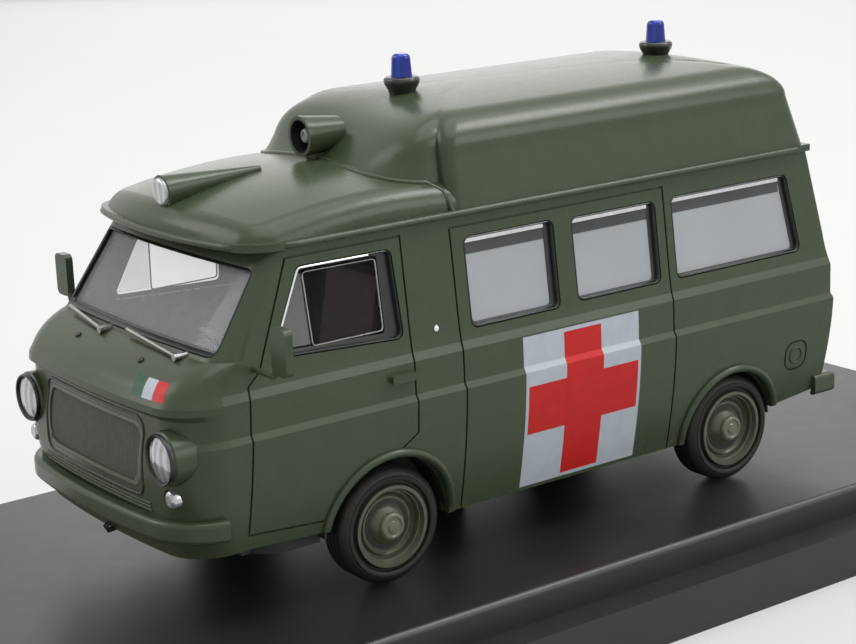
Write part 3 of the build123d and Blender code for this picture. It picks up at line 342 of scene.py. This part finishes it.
def rounded(corners, radius, inset=0.0, arc=6, run=10):
    """Closed outline with rounded corners, drawn in by an inset, as points in a plane."""
    area = sum(a[0] * b[1] - b[0] * a[1] for a, b in zip(corners, corners[1:] + corners[:1]))
    turn = 1 if area > 0 else -1
    bends = []
    for before, corner, after in zip(corners[-1:] + corners[:-1], corners, corners[1:] + corners[:1]):
        here = Vector(corner)
        back = (Vector(before) - here).normalized()
        ahead = (Vector(after) - here).normalized()
        half = back.angle(ahead) / 2
        centre = here + (back + ahead).normalized() * radius / math.sin(half)
        start = Vector((-back.y, back.x)) * turn
        end = Vector((ahead.y, -ahead.x)) * turn
        bend = []
        for i in range(arc + 1):
            way = start.slerp(end, i / arc)
            bend.append(centre + way * (radius - inset))
        bends.append(bend)
    points = []
    for bend, following in zip(bends, bends[1:] + bends[:1]):
        points += bend
        points += [bend[-1].lerp(following[0], i / run) for i in range(1, run)]
    return points


def ring_on(surface, facing, outline, rise):
    """Outline laid on a pane, standing a rise in front of it."""
    return [on_wall(surface, facing, u, z)[0] + facing * rise * MM for u, z in outline]


def moulding(name, surface, facing, rings, material):
    """Closed moulding round a window, from outlines and how far each stands in front of the pane."""
    shape = bmesh.new()
    skin_rings(shape, [ring_on(surface, facing, outline, rise) for outline, rise in rings], True)
    return smooth(add_piece(name, shape, material))


def band(left, right, low, high):
    """Corners of an upright rectangle, along the bottom, then back along the top."""
    return (left, low), (right, low), (right, high), (left, high)


def plate(name, surface, facing, corners, material, lift):
    """Thin four-cornered strip on a pane; corners run along the bottom, then back along the top."""
    a, b, c, d = [Vector(corner) for corner in corners]
    rows = []
    for up in steps(0, 1, 2):
        start = a.lerp(d, up)
        end = b.lerp(c, up)
        rows.append([on_wall(surface, facing, *start.lerp(end, share)) for share in steps(0, 1, 12)])
    return film(name, rows, material, lift)


# How far the wall's face stands in front of a pane, and the gap between a pane's rubber and its opening
SKIN = 0.75
RUBBER_GAP = 0.09
WINDOW_CORNER = 1.0
# How deep trim reaches into a pane, so that it has no open edge
RUBBER_SUNK = -0.05
FRAME_SUNK = -0.03


def rubber_and_painted_shade(name, surface, facing, corners, inner, proud):
    """Black rubber round a pane: down the wall of the opening, then along the pane to an inner outline; on
    the wall of the opening the black is also painted shade.
    """
    face = SKIN + proud
    # Columns: distance in from the opening, height in front of the pane
    section = ((0.0, RUBBER_SUNK), (0.0, face - 0.1), (0.12, face), (0.25, face - 0.15), (0.3, 0.12))
    rings = [(rounded(corners, WINDOW_CORNER, RUBBER_GAP + inset), rise) for inset, rise in section]
    rings += [(rounded(inner, WINDOW_CORNER / 2), rise) for rise in (0.08, RUBBER_SUNK)]
    moulding(name, surface, facing, rings, satin_black)


def bright_ring(name, surface, facing, corners, radius, width, rise, material=chrome):
    """Narrow bright frame standing on a pane, with bevelled edges."""
    bevel = rise * 0.7
    # Columns: share of the width, height in front of the pane
    section = ((0, FRAME_SUNK), (0, bevel), (0.3, rise), (0.7, rise), (1, bevel), (1, FRAME_SUNK))
    rings = [(rounded(corners, radius, width * share), height) for share, height in section]
    moulding(name, surface, facing, rings, material)


body_surface = surface_of(nodes["body_casting"])

# White panel with a red cross, on both sides
PANEL_Y = (-7.9, 10.9)
PANEL_Z = (5.9, 25.6)
# Columns: name, share of the panel along it, share of the panel up it, height above the casting
CROSS_ARMS = (
    ("level", (0.025, 0.975), (0.36, 0.68), 0.045),
    ("upright", (0.345, 0.665), (0.025, 0.975), 0.055),
)
SIDES = (("left", LEFT), ("right", RIGHT))
for word, facing in SIDES:
    rows = [[on_wall(body_surface, facing, y, z) for y in steps(*PANEL_Y, 8)] for z in steps(*PANEL_Z, 90)]
    film("panel_" + word, rows, white_print)
    for arm, along_share, up_share, lift in CROSS_ARMS:
        ys = [PANEL_Y[0] + (PANEL_Y[1] - PANEL_Y[0]) * share for share in along_share]
        zs = [PANEL_Z[0] + (PANEL_Z[1] - PANEL_Z[0]) * share for share in up_share]
        rows = [[on_wall(body_surface, facing, y, z) for y in steps(*ys, 8)] for z in steps(*zs, 80)]
        film("cross_" + arm + "_" + word, rows, red_print, lift)

# Three-coloured stripe on the nose, above the crease, leaning towards the middle
STRIPE_Z = (26.4, 28.3)
STRIPE_LEAN = 0.3
STRIPE = (
    ("green", 10.4, 12.5, green_print),
    ("white", 12.5, 14.5, white_print),
    ("red", 14.5, 16.5, red_print),
)
for word, inner, outer, material in STRIPE:
    rows = []
    for z in steps(*STRIPE_Z, 10):
        lean = STRIPE_LEAN * (z - STRIPE_Z[0])
        rows.append([on_wall(body_surface, FRONT, x - lean, z) for x in steps(inner, outer, 6)])
    film("stripe_" + word, rows, material)

# Window rubbers, whose black on the walls of the openings is also painted shade, bright frames and the dark
# strip along the top of each side pane
DOOR = [(-43.4, 29.6), (-38.6, 39.5), (-25.6, 39.4), (-25.0, 28.6)]
DOOR_RUBBER = [(-42.5, 30.2), (-38.2, 38.9), (-27.3, 38.8), (-27.2, 29.6)]
DOOR_FRAME = [(-37.3, 29.9), (-37.7, 38.6), (-27.5, 38.5), (-27.4, 29.9)]
VENT_PANE = ((-42.2, 30.4), (-37.5, 30.2), (-37.8, 38.4), (-38.4, 38.4))
# Points of the door outline, from the foot of its slanted front edge to near the end of its top edge
DOOR_BRIGHT = slice(6, 31)
# Columns: place in the row, corners of the opening, corners of the pane that shows
SIDE_WINDOWS = (
    (
        "front",
        [(-15.2, 28.0), (-15.2, 39.1), (-1.2, 39.1), (-1.2, 28.0)],
        [(-14.5, 28.6), (-14.5, 38.6), (-2.4, 38.6), (-2.4, 28.6)],
    ),
    (
        "middle",
        [(1.5, 28.3), (1.5, 38.9), (15.6, 38.9), (15.6, 28.3)],
        [(2.0, 28.8), (2.0, 38.4), (14.6, 38.4), (14.6, 28.8)],
    ),
    (
        "back",
        [(18.2, 28.3), (18.2, 39.0), (39.2, 39.0), (41.0, 28.3)],
        [(18.8, 28.8), (18.8, 38.5), (38.2, 38.5), (39.8, 28.8)],
    ),
)
# The bright tube of a door window: its distance in from the opening, its depth under the wall, its radius
DOOR_BRIGHT_INSET = 0.3
DOOR_BRIGHT_SUNK = 0.1
DOOR_BRIGHT_RADIUS = 0.16
STRIP_HEIGHT = 1.4
STRIP_LIFT = 0.04
BRIGHT_HEIGHT = 0.45
BRIGHT_LIFT = 0.12
VENT_LIFT = 0.06
# The bright edge of a side pane: its distance from the opening, its width, and how far it stops short
EDGE_START = 0.15
EDGE_WIDTH = 0.3
EDGE_SHORT = 0.5
EDGE_LIFT = 0.3
FRAME_CORNER = 0.5
FRAME_RISE = 0.2
DOOR_FRAME_WIDTH = 0.17
for word, facing in SIDES:
    door_surface = surface_of(nodes["door_glazing_" + word])
    side_surface = surface_of(nodes["side_glazing_" + word])
    rubber_and_painted_shade("door_rubber_" + word, door_surface, facing, DOOR, DOOR_RUBBER, 0.0)
    bright_ring(
        "door_frame_" + word, door_surface, facing, DOOR_FRAME, FRAME_CORNER, DOOR_FRAME_WIDTH, FRAME_RISE,
        wiper_steel,
    )
    plate("vent_pane_" + word, door_surface, facing, VENT_PANE, vent_glass, VENT_LIFT)
    line = rounded(DOOR, WINDOW_CORNER, DOOR_BRIGHT_INSET)[DOOR_BRIGHT]
    shape = bmesh.new()
    tube(shape, ring_on(door_surface, facing, line, SKIN - DOOR_BRIGHT_SUNK), DOOR_BRIGHT_RADIUS)
    smooth(add_piece("door_bright_" + word, shape, chrome), 60)
    for place, opening, shown in SIDE_WINDOWS:
        ending = place + "_" + word
        rubber_and_painted_shade("rubber_" + ending, side_surface, facing, opening, shown, 0.0)
        (left, low), (_, top), (right, _), _ = shown
        strip_top = top - BRIGHT_HEIGHT
        bright = band(left, right, strip_top, top)
        plate("bright_" + ending, side_surface, facing, bright, chrome, BRIGHT_LIFT)
        # Dark strip along the top of each pane, above the milky part
        strip = band(left, right, strip_top - STRIP_HEIGHT, strip_top)
        plate("strip_" + ending, side_surface, facing, strip, dark_strip_pane, STRIP_LIFT)
        start = opening[0][0] + EDGE_START
        edge = band(start, start + EDGE_WIDTH, low + EDGE_SHORT, top - EDGE_SHORT)
        plate("edge_" + ending, side_surface, facing, edge, chrome, EDGE_LIFT)

SCREEN = [(-18.0, 30.6), (-17.1, 39.7), (17.1, 39.7), (18.0, 30.6)]
SCREEN_SHOWN = [(-17.2, 31.2), (-16.4, 39.2), (16.4, 39.2), (17.2, 31.2)]
SCREEN_PROUD = 0.12
rubber_and_painted_shade("screen_rubber", surface_of(nodes["windscreen"]), FRONT, SCREEN, SCREEN_SHOWN, SCREEN_PROUD)

# Left pane of the rear doors; the right one mirrors it
REAR_OPENING = ((1.5, 28.6), (1.5, 38.6), (14.4, 38.6), (15.0, 28.6))
REAR_SHOWN = ((2.2, 29.2), (2.2, 38.0), (13.8, 38.0), (14.3, 29.2))
REAR_FRAME_WIDTH = 0.2
rear_surface = surface_of(nodes["rear_glazing"])
for word, facing in SIDES:
    opening, shown = [[(facing.x * x, z) for x, z in corners] for corners in (REAR_OPENING, REAR_SHOWN)]
    rubber_and_painted_shade("rear_rubber_" + word, rear_surface, BACK, opening, shown, 0.0)
    bright_ring("rear_bright_" + word, rear_surface, BACK, shown, FRAME_CORNER, REAR_FRAME_WIDTH, FRAME_RISE)

# Fine upright wires across the grille slats
grille_surface = surface_of(nodes["grille"])
GRILLE_Z = (15.5, 23.2)
SLATS = 17
WIRES = 76
WIRE_HALF = 10.9
WIRE_RADIUS = 0.1
pitch = (GRILLE_Z[1] - GRILLE_Z[0]) / SLATS
shape = bmesh.new()
for x in steps(-WIRE_HALF, WIRE_HALF, WIRES):
    heights = [GRILLE_Z[0] + pitch * (slat + 0.5) for slat in range(1, SLATS - 1)]
    tube(shape, [on_wall(grille_surface, FRONT, x, z)[0] for z in heights], WIRE_RADIUS, 6)
add_piece("grille_wires", shape, grille_olive)

# Dark ring round the edge of the grille
GRILLE_RING = [(-11.9, 14.6), (-11.9, 23.8), (11.9, 23.8), (11.9, 14.6)]
RING_CORNER = 1.4
RING_RADIUS = 0.17
line = rounded(GRILLE_RING, RING_CORNER)
shape = bmesh.new()
tube(shape, [on_wall(body_surface, FRONT, x, z)[0] for x, z in line + line[:1]], RING_RADIUS, 8)
smooth(add_piece("grille_ring", shape, satin_black), 60)

# Beads along the nose under the grille
BEADS_Z = (14.0, 13.55, 13.1)
BEAD_HALF = 13
BEAD_RADIUS = 0.14
shape = bmesh.new()
for z in BEADS_Z:
    points = [on_wall(body_surface, FRONT, x, z)[0] for x in steps(-BEAD_HALF, BEAD_HALF, 26)]
    tube(shape, points, BEAD_RADIUS, 8)
smooth(add_piece("nose_beads", shape, olive), 60)

# Raised roof: leaning walls, an upright edge at each corner, a full shoulder, a bowed front and rounded brows
ROOF_FOOT_Z = 42.4
ROOF_TOP_Z = 54.3
ROOF_FOOT_HALF = 18.5
ROOF_CROWN_RADIUS = 110.0
WALL_TOP_Z = 49.3
WALL_LEAN = 1.1
SHOULDER = 4.2
CORNER = 1.7
# Power of the curve that the bowed front follows; more than 2 makes its cheeks fuller than an ellipse
BOW_POWER = 2.8
# The front flares forward below a height, to its full reach at a depth under that
FLARE_TOP_Z = 50.5
FLARE_DEPTH = 4.5
# Columns: foot, wall's lean, bow, flare, the brow's reach at the corner and in the middle, its lowest height
NOSE = (-16.6, 0.2, 5.8, 3.4, 4.2, 9.8, 45.8)
TAIL = (43.3, 2.0, 0.5, 0.0, 6.0, 9.0, 48.0)
# Rings that close the crown, as shares of the width where the shoulders end, and how far its ends draw in
CROWN_SHARES = (0.75, 0.5, 0.25)
CROWN_DRAW = 7


def roof_height(x):
    """Height of the roof's crown at a place across it."""
    return ROOF_TOP_Z - x * x / (2 * ROOF_CROWN_RADIUS)


def roof_ring(half, low, ends, corner):
    """Ring round the roof, from its half width, the height of its sides, its ends and its corner radius.

    Each end gives its corner's place, its bow and flare, and its middle's inset and height.
    """
    outlines = []
    for way, (place, bow, flare, inset, middle) in zip((-1, 1), ends):
        inner = half - corner
        bend = steps(0, math.pi / 2, 8)
        arc = [(inner + corner * math.cos(t), place - way * corner * (1 - math.sin(t)), low) for t in bend]
        face = []
        for x in [inner * math.cos(t) for t in steps(0, math.pi, 36)[1:-1]]:
            share = 1 - (x / inner) ** 2
            bulge = (1 - abs(x / inner) ** BOW_POWER) ** (1 / BOW_POWER)
            z = low + (middle - low) * share
            sunk = max(0, FLARE_TOP_Z - z) / FLARE_DEPTH
            face.append((x, place + way * ((bow + flare * sunk ** 2) * bulge - inset * share), z))
        other = [(-x, y, z) for x, y, z in reversed(arc)]
        outlines.append(arc + face + other)
    front, back = outlines
    right_side = [(-half, y, low) for y in steps(front[-1][1], back[-1][1], 30)[1:-1]]
    left_side = [(half, y, low) for y in steps(back[0][1], front[0][1], 30)[1:-1]]
    return [at(*point) for point in front + right_side + back[::-1] + left_side]


def roof_end(end, way, climb, turn):
    """An end of one ring: its corner's place, its bow and flare, and its middle's inset and height."""
    foot, lean, bow, flare, near, far, low = end
    rolled = 1 - math.cos(turn)
    place = foot - way * (lean * climb + near * rolled)
    start = ROOF_FOOT_Z + (low - ROOF_FOOT_Z) * climb
    middle = start + (ROOF_TOP_Z - start) * math.sin(turn)
    return place, bow * math.cos(turn), flare, (far - near) * rolled, middle


rings = []
for climb in steps(0, 1, 5):
    ends = (roof_end(NOSE, -1, climb, 0), roof_end(TAIL, 1, climb, 0))
    low = ROOF_FOOT_Z + (WALL_TOP_Z - ROOF_FOOT_Z) * climb
    rings.append(roof_ring(ROOF_FOOT_HALF - WALL_LEAN * climb, low, ends, CORNER))
for turn in steps(0, math.pi / 2, 12)[1:]:
    half = ROOF_FOOT_HALF - WALL_LEAN - SHOULDER * (1 - math.cos(turn))
    ends = (roof_end(NOSE, -1, 1, turn), roof_end(TAIL, 1, 1, turn))
    low = WALL_TOP_Z + (roof_height(half) - WALL_TOP_Z) * math.sin(turn)
    rings.append(roof_ring(half, low, ends, CORNER))
brow = half
for share in CROWN_SHARES:
    half = brow * share
    draw = CROWN_DRAW * (1 - share)
    (nose_place, _, _, nose_inset, _), (tail_place, _, _, tail_inset, _) = ends
    ends = (
        (nose_place + draw, 0, 0, nose_inset * share, ROOF_TOP_Z),
        (tail_place - draw, 0, 0, tail_inset * share, ROOF_TOP_Z),
    )
    rings.append(roof_ring(half, roof_height(half), ends, CORNER))
shape = bmesh.new()
corners = skin_rings(shape, rings, False)
shape.faces.new(corners[0])
shape.faces.new(corners[-1])
roof = smooth(add_piece("raised_roof_shell", shape, olive), 50)
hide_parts("raised_roof")

# Rolled gutter round the cab roof and along both sides
GUTTER_Z = 42.05
GUTTER_RADIUS = 0.4
GUTTER_Y = (41.0, -39.5)
GUTTER_HALF = 15.0
left_side, right_side = [
    [on_wall(body_surface, facing, y, GUTTER_Z)[0] for y in steps(*GUTTER_Y, 70)]
    for _, facing in SIDES
]
across = [on_wall(body_surface, FRONT, x, GUTTER_Z)[0] for x in steps(GUTTER_HALF, -GUTTER_HALF, 40)]
shape = bmesh.new()
tube(shape, left_side + across + right_side[::-1], GUTTER_RADIUS, 12)
smooth(add_piece("gutter", shape, olive), 60)

# Bead along the foot of the raised roof's front, down over the cab roof's shoulders.
# Each point starts from a guess, and is moved to where the two surfaces meet.
FOOT_HALF = 16.2
FOOT_RADIUS = 0.35
FOOT_TRIES = 4
# Points from the end of the front's foot down to the gutter
FOOT_END = ((17.3, -17.0, 44.7), (18.1, -16.7, 43.6), (18.5, -16.4, 42.3))
DOWN = Vector((0, 0, -1))
roof_surface = surface_of(roof)
points = []
for turn in steps(0, math.pi, 60):
    start = at(-FOOT_HALF * math.cos(turn), NOSE[0], OUTSIDE)
    for _ in range(FOOT_TRIES):
        crest = body_surface.ray_cast(start, DOWN)[0]
        front = roof_surface.ray_cast(crest + FRONT * OUTSIDE * MM, BACK)[0]
        start.y = front.y
    points.append(crest)
right_end, left_end = [[at(side * x, y, z) for x, y, z in FOOT_END] for side in (-1, 1)]
shape = bmesh.new()
tube(shape, right_end[::-1] + points + left_end, FOOT_RADIUS, 10)
smooth(add_piece("roof_foot_bead", shape, olive), 60)

# Dark rings round the headlamp lenses. Turned profiles have the place along the axis first, then the radius.
LAMP = (16.6, -56.5, 20.1)
LAMP_RING = ((0.05, 2.62), (0.28, 2.7), (0.34, 2.86), (0.1, 3.0), (-0.2, 2.95), (-0.2, 2.62))
for number, (word, facing) in enumerate(SIDES):
    x, y, z = LAMP
    shape = bmesh.new()
    lathe(shape, LAMP_RING, at(facing.x * x, y, z), FRONT)
    smooth(add_piece("lamp_ring_%d" % number, shape, satin_black))

# Black sheet inside the siren horn, painted shade of its deep mouth, and the pale nose of its cone
HORN_MOUTH = at(0, -25.5, 50.4)
HORN_SHADE_SHEET = ((0.0, 2.06), (-3.5, 1.46), (-3.5, 1.42), (0.0, 2.0))
HORN_CORE = ((-3.4, 1.0), (-1.1, 0.95), (-0.7, 0.8), (-0.6, 0.5), (-0.8, 0.35))
shape = bmesh.new()
lathe(shape, HORN_SHADE_SHEET, HORN_MOUTH, FRONT)
smooth(add_piece("horn_painted_shade", shape, satin_black))
shape = bmesh.new()
core = lathe(shape, HORN_CORE, HORN_MOUTH, FRONT, False, 40)
shape.faces.new(core[0])
shape.faces.new(core[-1])
smooth(add_piece("horn_core", shape, cone_grey))

# Beacon bowls: tapered towards the roof, with a rolled rim and a well that holds the lens
BOWL = (
    (-0.8, 0.9), (-0.8, 1.5), (0.1, 1.8), (0.6, 2.1), (1.0, 2.25), (1.3, 2.3),
    (1.55, 2.22), (1.7, 2.0), (1.74, 1.7), (1.7, 1.35), (1.5, 1.1), (1.5, 0.9),
)
BEACONS = (("front", -9.9), ("rear", 33.0))
for word, y in BEACONS:
    shape = bmesh.new()
    lathe(shape, BOWL, at(0, y, ROOF_TOP_Z), Vector((0, 0, 1)))
    bowl = smooth(add_piece("beacon_bowl_" + word, shape, bowl_black), 60)
    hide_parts("beacon_base_" + word)

# Washer jets, pillar locks and the tow hook
WASHERS = ((-7.6, 29.2), (7.9, 29.2))
WASHER = ((-0.3, 0.42), (0.15, 0.42), (0.3, 0.25))
LOCK_PLACE = (-20.4, 29.0)
LOCK = ((-0.3, 0.36), (0.12, 0.36), (0.22, 0.22))
HOOK_X = 1.5
HOOK_LINE = ((-53.0, 9.0), (-55.6, 8.7), (-56.4, 8.2), (-56.0, 7.6), (-55.2, 7.7))
HOOK_RADIUS = 0.35


def button(shape, profile, facing, run, z):
    """Small turned button on a wall of the body, with a flat top."""
    point, normal = on_wall(body_surface, facing, run, z)
    rings = lathe(shape, profile, point, normal, False, 20)
    shape.faces.new(rings[-1])


shape = bmesh.new()
for x, z in WASHERS:
    button(shape, WASHER, FRONT, x, z)
smooth(add_piece("washer_jets", shape, satin_black))
shape = bmesh.new()
for _, facing in SIDES:
    button(shape, LOCK, facing, *LOCK_PLACE)
smooth(add_piece("pillar_locks", shape, chrome))
shape = bmesh.new()
tube(shape, [at(HOOK_X, y, z) for y, z in HOOK_LINE], HOOK_RADIUS, 10)
smooth(add_piece("tow_hook", shape, satin_black), 60)

# Rolled lips of the wheel arches, and the dark liners behind them
# Columns: axle's place along the van, radius of the arch
ARCHES = ((AXLES[0][1], 8.8), (AXLES[1][1], 8.0))
# The lip's line lies a little outside the arch's edge, and its tube is partly sunk in the body
LIP_OUTSIDE = 0.45
LIP_RADIUS = 0.5
LIP_SUNK = 0.2
# The liner's section: places across the van, and how far each lies outside the arch's radius
LINER = ((14.3, -5.0), (14.3, -0.1), (18.6, -0.1), (18.6, 0.15), (14.15, 0.15), (14.15, -5.0))
ARCH_TURNS = [math.radians(angle) for angle in steps(2, 178, 60)]


def around(y, z, radius, turn):
    """Point of a circle on the side of the van: its place along the van and its height."""
    return y + radius * math.cos(turn), z + radius * math.sin(turn)


lips, liners = bmesh.new(), bmesh.new()
for axle_y, radius in ARCHES:
    for _, facing in SIDES:
        line = []
        for t in ARCH_TURNS:
            point, normal = on_wall(body_surface, facing, *around(axle_y, AXLE_Z, radius + LIP_OUTSIDE, t))
            if point:
                line.append(point - normal * LIP_SUNK * MM)
        tube(lips, line, LIP_RADIUS, 12)
        sections = [
            [at(facing.x * x, *around(axle_y, AXLE_Z, radius + outside, t)) for x, outside in LINER]
            for t in ARCH_TURNS
        ]
        ends = skin_rings(liners, sections, False)
        liners.faces.new(ends[0])
        liners.faces.new(ends[-1])
smooth(add_piece("arch_lips", lips, olive), 60)
smooth(add_piece("arch_liners", liners, under_black))

# Fuel flap's raised ring, on the left
FLAP = (39.5, 14.1)
FLAP_RADIUS = 1.1
FLAP_BEAD = 0.16
shape = bmesh.new()
circle = [around(*FLAP, FLAP_RADIUS, t) for t in steps(0, 2 * math.pi, 32)]
tube(shape, [on_wall(body_surface, LEFT, y, z)[0] for y, z in circle], FLAP_BEAD, 8)
smooth(add_piece("flap_ring", shape, olive), 60)

# Hinges of the rear doors
HINGE_X = 16.8435
HINGES_Z = (13.0, 24.0, 35.0)
HINGE_LINE = (-1.2, -1.0, 1.0, 1.2)
HINGE_RADIUS = 0.42
shape = bmesh.new()
for x in (-HINGE_X, HINGE_X):
    for z in HINGES_Z:
        point = on_wall(body_surface, BACK, x, z)[0]
        tube(shape, [point + Vector((0, 0, rise)) * MM for rise in HINGE_LINE], HINGE_RADIUS, 12)
smooth(add_piece("rear_hinges", shape, olive), 60)

# Mirror glass on the faces that look back
MIRROR_X = 26.0
MIRROR_Z = 32.3
GLASS_HALF_WIDTH = 1.15
GLASS_HALF_HEIGHT = 2.3
GLASS_LIFT = 0.04
for word, facing in SIDES:
    x = facing.x * MIRROR_X
    glass = band(
        x - GLASS_HALF_WIDTH, x + GLASS_HALF_WIDTH, MIRROR_Z - GLASS_HALF_HEIGHT, MIRROR_Z + GLASS_HALF_HEIGHT
    )
    face = surface_of(nodes["mirror_" + word])
    plate("mirror_glass_" + word, face, BACK, glass, mirror_grey, GLASS_LIFT)

# Tyres with stepped sidewalls and grooved treads, black rings of painted shade, and the rim lip and hub boss
# of each wheel.
# Places along the axle are from the van's middle, and those of the hub from the top of the cap.
WHEEL_FACE = 19.8
TYRE_INNER = 15.0
TREAD_RADIUS = 7.2
GROOVE_RADIUS = 7.0
GROOVES = (16.2, 17.0, 17.8, 18.6)
# A groove's half width at the tread and at its bottom
GROOVE_TOP = 0.13
GROOVE_BOTTOM = 0.11
SIDEWALL = (
    (19.45, 5.1), (19.5, 5.2), (19.3, 5.32), (19.3, 5.55), (19.7, 5.68), (19.8, 5.85),
    (19.8, 6.15), (19.66, 6.24), (19.66, 6.36), (19.5, 6.6), (19.3, 6.85), (18.98, 7.14),
)
profile = list(SIDEWALL)
for place in sorted(GROOVES, reverse=True):
    profile += [(place + GROOVE_TOP, TREAD_RADIUS), (place + GROOVE_BOTTOM, GROOVE_RADIUS)]
    profile += [(place - GROOVE_BOTTOM, GROOVE_RADIUS), (place - GROOVE_TOP, TREAD_RADIUS)]
profile += [(WHEEL_FACE + TYRE_INNER - place, radius) for place, radius in reversed(SIDEWALL)]
# Black rings of painted shade: one round the hub cap, one between the tyre and the rim's lip
PAINTED_SHADE_RINGS = (
    ((18.56, 2.64), (18.56, 3.15), (18.4, 3.15), (18.4, 2.64)),
    ((19.5, 4.72), (19.62, 5.12), (19.3, 5.12), (19.3, 4.72)),
)
HUB = (
    (-0.6, 1.75), (-0.12, 1.7), (0.06, 1.55), (0.12, 1.35), (0.1, 1.2),
    (-0.02, 1.1), (-0.02, 0.75), (0.1, 0.65), (0.12, 0.3),
)
RIM_LIP = ((19.0, 4.22), (19.18, 4.32), (19.2, 4.46), (18.9, 4.5), (18.8, 4.3))
for word, y in AXLES:
    centre = at(0, y, AXLE_Z)
    rim_surface = surface_of(nodes[word + "_rims"])
    tyres, rings, lips, hubs = bmesh.new(), bmesh.new(), bmesh.new(), bmesh.new()
    for side in (LEFT, RIGHT):
        lathe(tyres, profile, centre, side, True, 96)
        for ring in PAINTED_SHADE_RINGS:
            lathe(rings, ring, centre, side)
        lathe(lips, RIM_LIP, centre, side)
        cap = rim_surface.ray_cast(centre + side * OUTSIDE * MM, -side)[0]
        boss = lathe(hubs, HUB, cap, side, False, 48)
        hubs.faces.new(boss[-1])
    piece = smooth(add_piece(word + "_tyre_pair", tyres, rubber, word + "_wheels"), 35)
    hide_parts(word + "_tyres")
    smooth(add_piece(word + "_rim_shadows", rings, under_black, word + "_wheels"))
    smooth(add_piece(word + "_rim_lips", lips, olive_rim, word + "_wheels"))
    smooth(add_piece(word + "_hubs", hubs, hub_olive, word + "_wheels"))


# Stage, light and camera


def seen_ray(tree, hidden, shown):
    """Strength: shown for rays from the camera, from gloss and through glass, and hidden for the rest."""
    path = tree.nodes.new("ShaderNodeLightPath")
    seen = path.outputs["Is Camera Ray"]
    for ray in ("Is Glossy Ray", "Is Transmission Ray"):
        either = tree.nodes.new("ShaderNodeMath")
        either.operation = "MAXIMUM"
        tree.links.new(seen, either.inputs[0])
        tree.links.new(path.outputs[ray], either.inputs[1])
        seen = either.outputs["Value"]
    strength = tree.nodes.new("ShaderNodeMapRange")
    strength.inputs["To Min"].default_value = hidden
    strength.inputs["To Max"].default_value = shown
    tree.links.new(seen, strength.inputs["Value"])
    return strength.outputs["Result"]


FLOOR_HALF = 3.0
FLOOR_GLOW = 0.19
FLOOR_LOW = (0.47, 0.47, 0.465)
FLOOR_HIGH = (0.475, 0.475, 0.47)
FLOOR_GRAIN = 30
FLOOR_ROUGHNESS = 0.6
floor_shape = bmesh.new()
floor_corners = [(x, y, 0) for x, y in band(-FLOOR_HALF, FLOOR_HALF, -FLOOR_HALF, FLOOR_HALF)]
floor_shape.faces.new([floor_shape.verts.new(corner) for corner in floor_corners])
floor_mesh = bpy.data.meshes.new("floor")
floor_shape.to_mesh(floor_mesh)
floor_shape.free()
floor = bpy.data.objects.new("floor", floor_mesh)
scene.collection.objects.link(floor)
floor_material, tree, shader, place = new_material("floor")
mottle = noise(tree, place, FLOOR_GRAIN)
tree.links.new(ramp(tree, mottle, FLOOR_LOW, FLOOR_HIGH), shader.inputs["Base Color"])
shader.inputs["Roughness"].default_value = FLOOR_ROUGHNESS
shader.inputs["Emission Color"].default_value = (1, 1, 1, 1)
tree.links.new(seen_ray(tree, 0.0, FLOOR_GLOW), shader.inputs["Emission Strength"])
floor_mesh.materials.append(floor_material)

# The world lights the van at one strength, and shows as white to the camera, in gloss and through glass
WORLD_LIGHT = 0.55
world = bpy.data.worlds.new("studio")
scene.world = world
world.use_nodes = True
tree = world.node_tree
background = tree.nodes["Background"]
background.inputs["Color"].default_value = (1, 1, 1, 1)
tree.links.new(seen_ray(tree, WORLD_LIGHT, 1.0), background.inputs["Strength"])


def lamp(name, place, target, width, power):
    """Square soft lamp at a place, turned to a target, in metres and watts."""
    data = bpy.data.lights.new(name, "AREA")
    data.size = width
    data.energy = power
    piece = bpy.data.objects.new(name, data)
    scene.collection.objects.link(piece)
    piece.location = place
    piece.rotation_euler = (Vector(target) - Vector(place)).to_track_quat("-Z", "Y").to_euler()


lamp("overhead", (0.1, 0.15, 0.8), (0, 0, 0.03), 0.8, 4.0)
lamp("back_top", (0.28, 0.62, 0.82), (0, 0.02, 0.05), 0.3, 3.2)
lamp("front_right", (-0.5, -0.6, 0.55), (0, -0.02, 0.04), 0.5, 2.4)
lamp("left_back", (0.7, 0.5, 0.4), (0, 0.02, 0.04), 0.4, 1.6)
lamp("far_back", (-0.62, 0.46, 0.26), (0, 0, 0.05), 0.5, 0.5)

AZIMUTH = math.radians(54.28)
ELEVATION = math.radians(14.65)
ROLL = math.radians(-2.30)
EYE = (209.8, -158.2, 91.2)
FOCAL_PIXELS = 2053
PHOTO_WIDTH = 856
flat = math.cos(ELEVATION)
away = Vector((math.sin(AZIMUTH) * flat, -math.cos(AZIMUTH) * flat, math.sin(ELEVATION)))
level = away.cross(Vector((0, 0, -1))).normalized()
upward = level.cross(-away)
right = level * math.cos(ROLL) + upward * math.sin(ROLL)
up = upward * math.cos(ROLL) - level * math.sin(ROLL)
camera_data = bpy.data.cameras.new("camera")
camera_data.sensor_fit = "HORIZONTAL"
camera_data.sensor_width = 36.0
camera_data.lens = camera_data.sensor_width * FOCAL_PIXELS / PHOTO_WIDTH
camera_data.clip_start = 0.01
camera = bpy.data.objects.new("camera", camera_data)
scene.collection.objects.link(camera)
turn = Matrix((right, up, away)).transposed().to_4x4()
camera.matrix_world = Matrix.Translation(at(*EYE)) @ turn
scene.camera = camera
scene.view_settings.view_transform = "Standard"
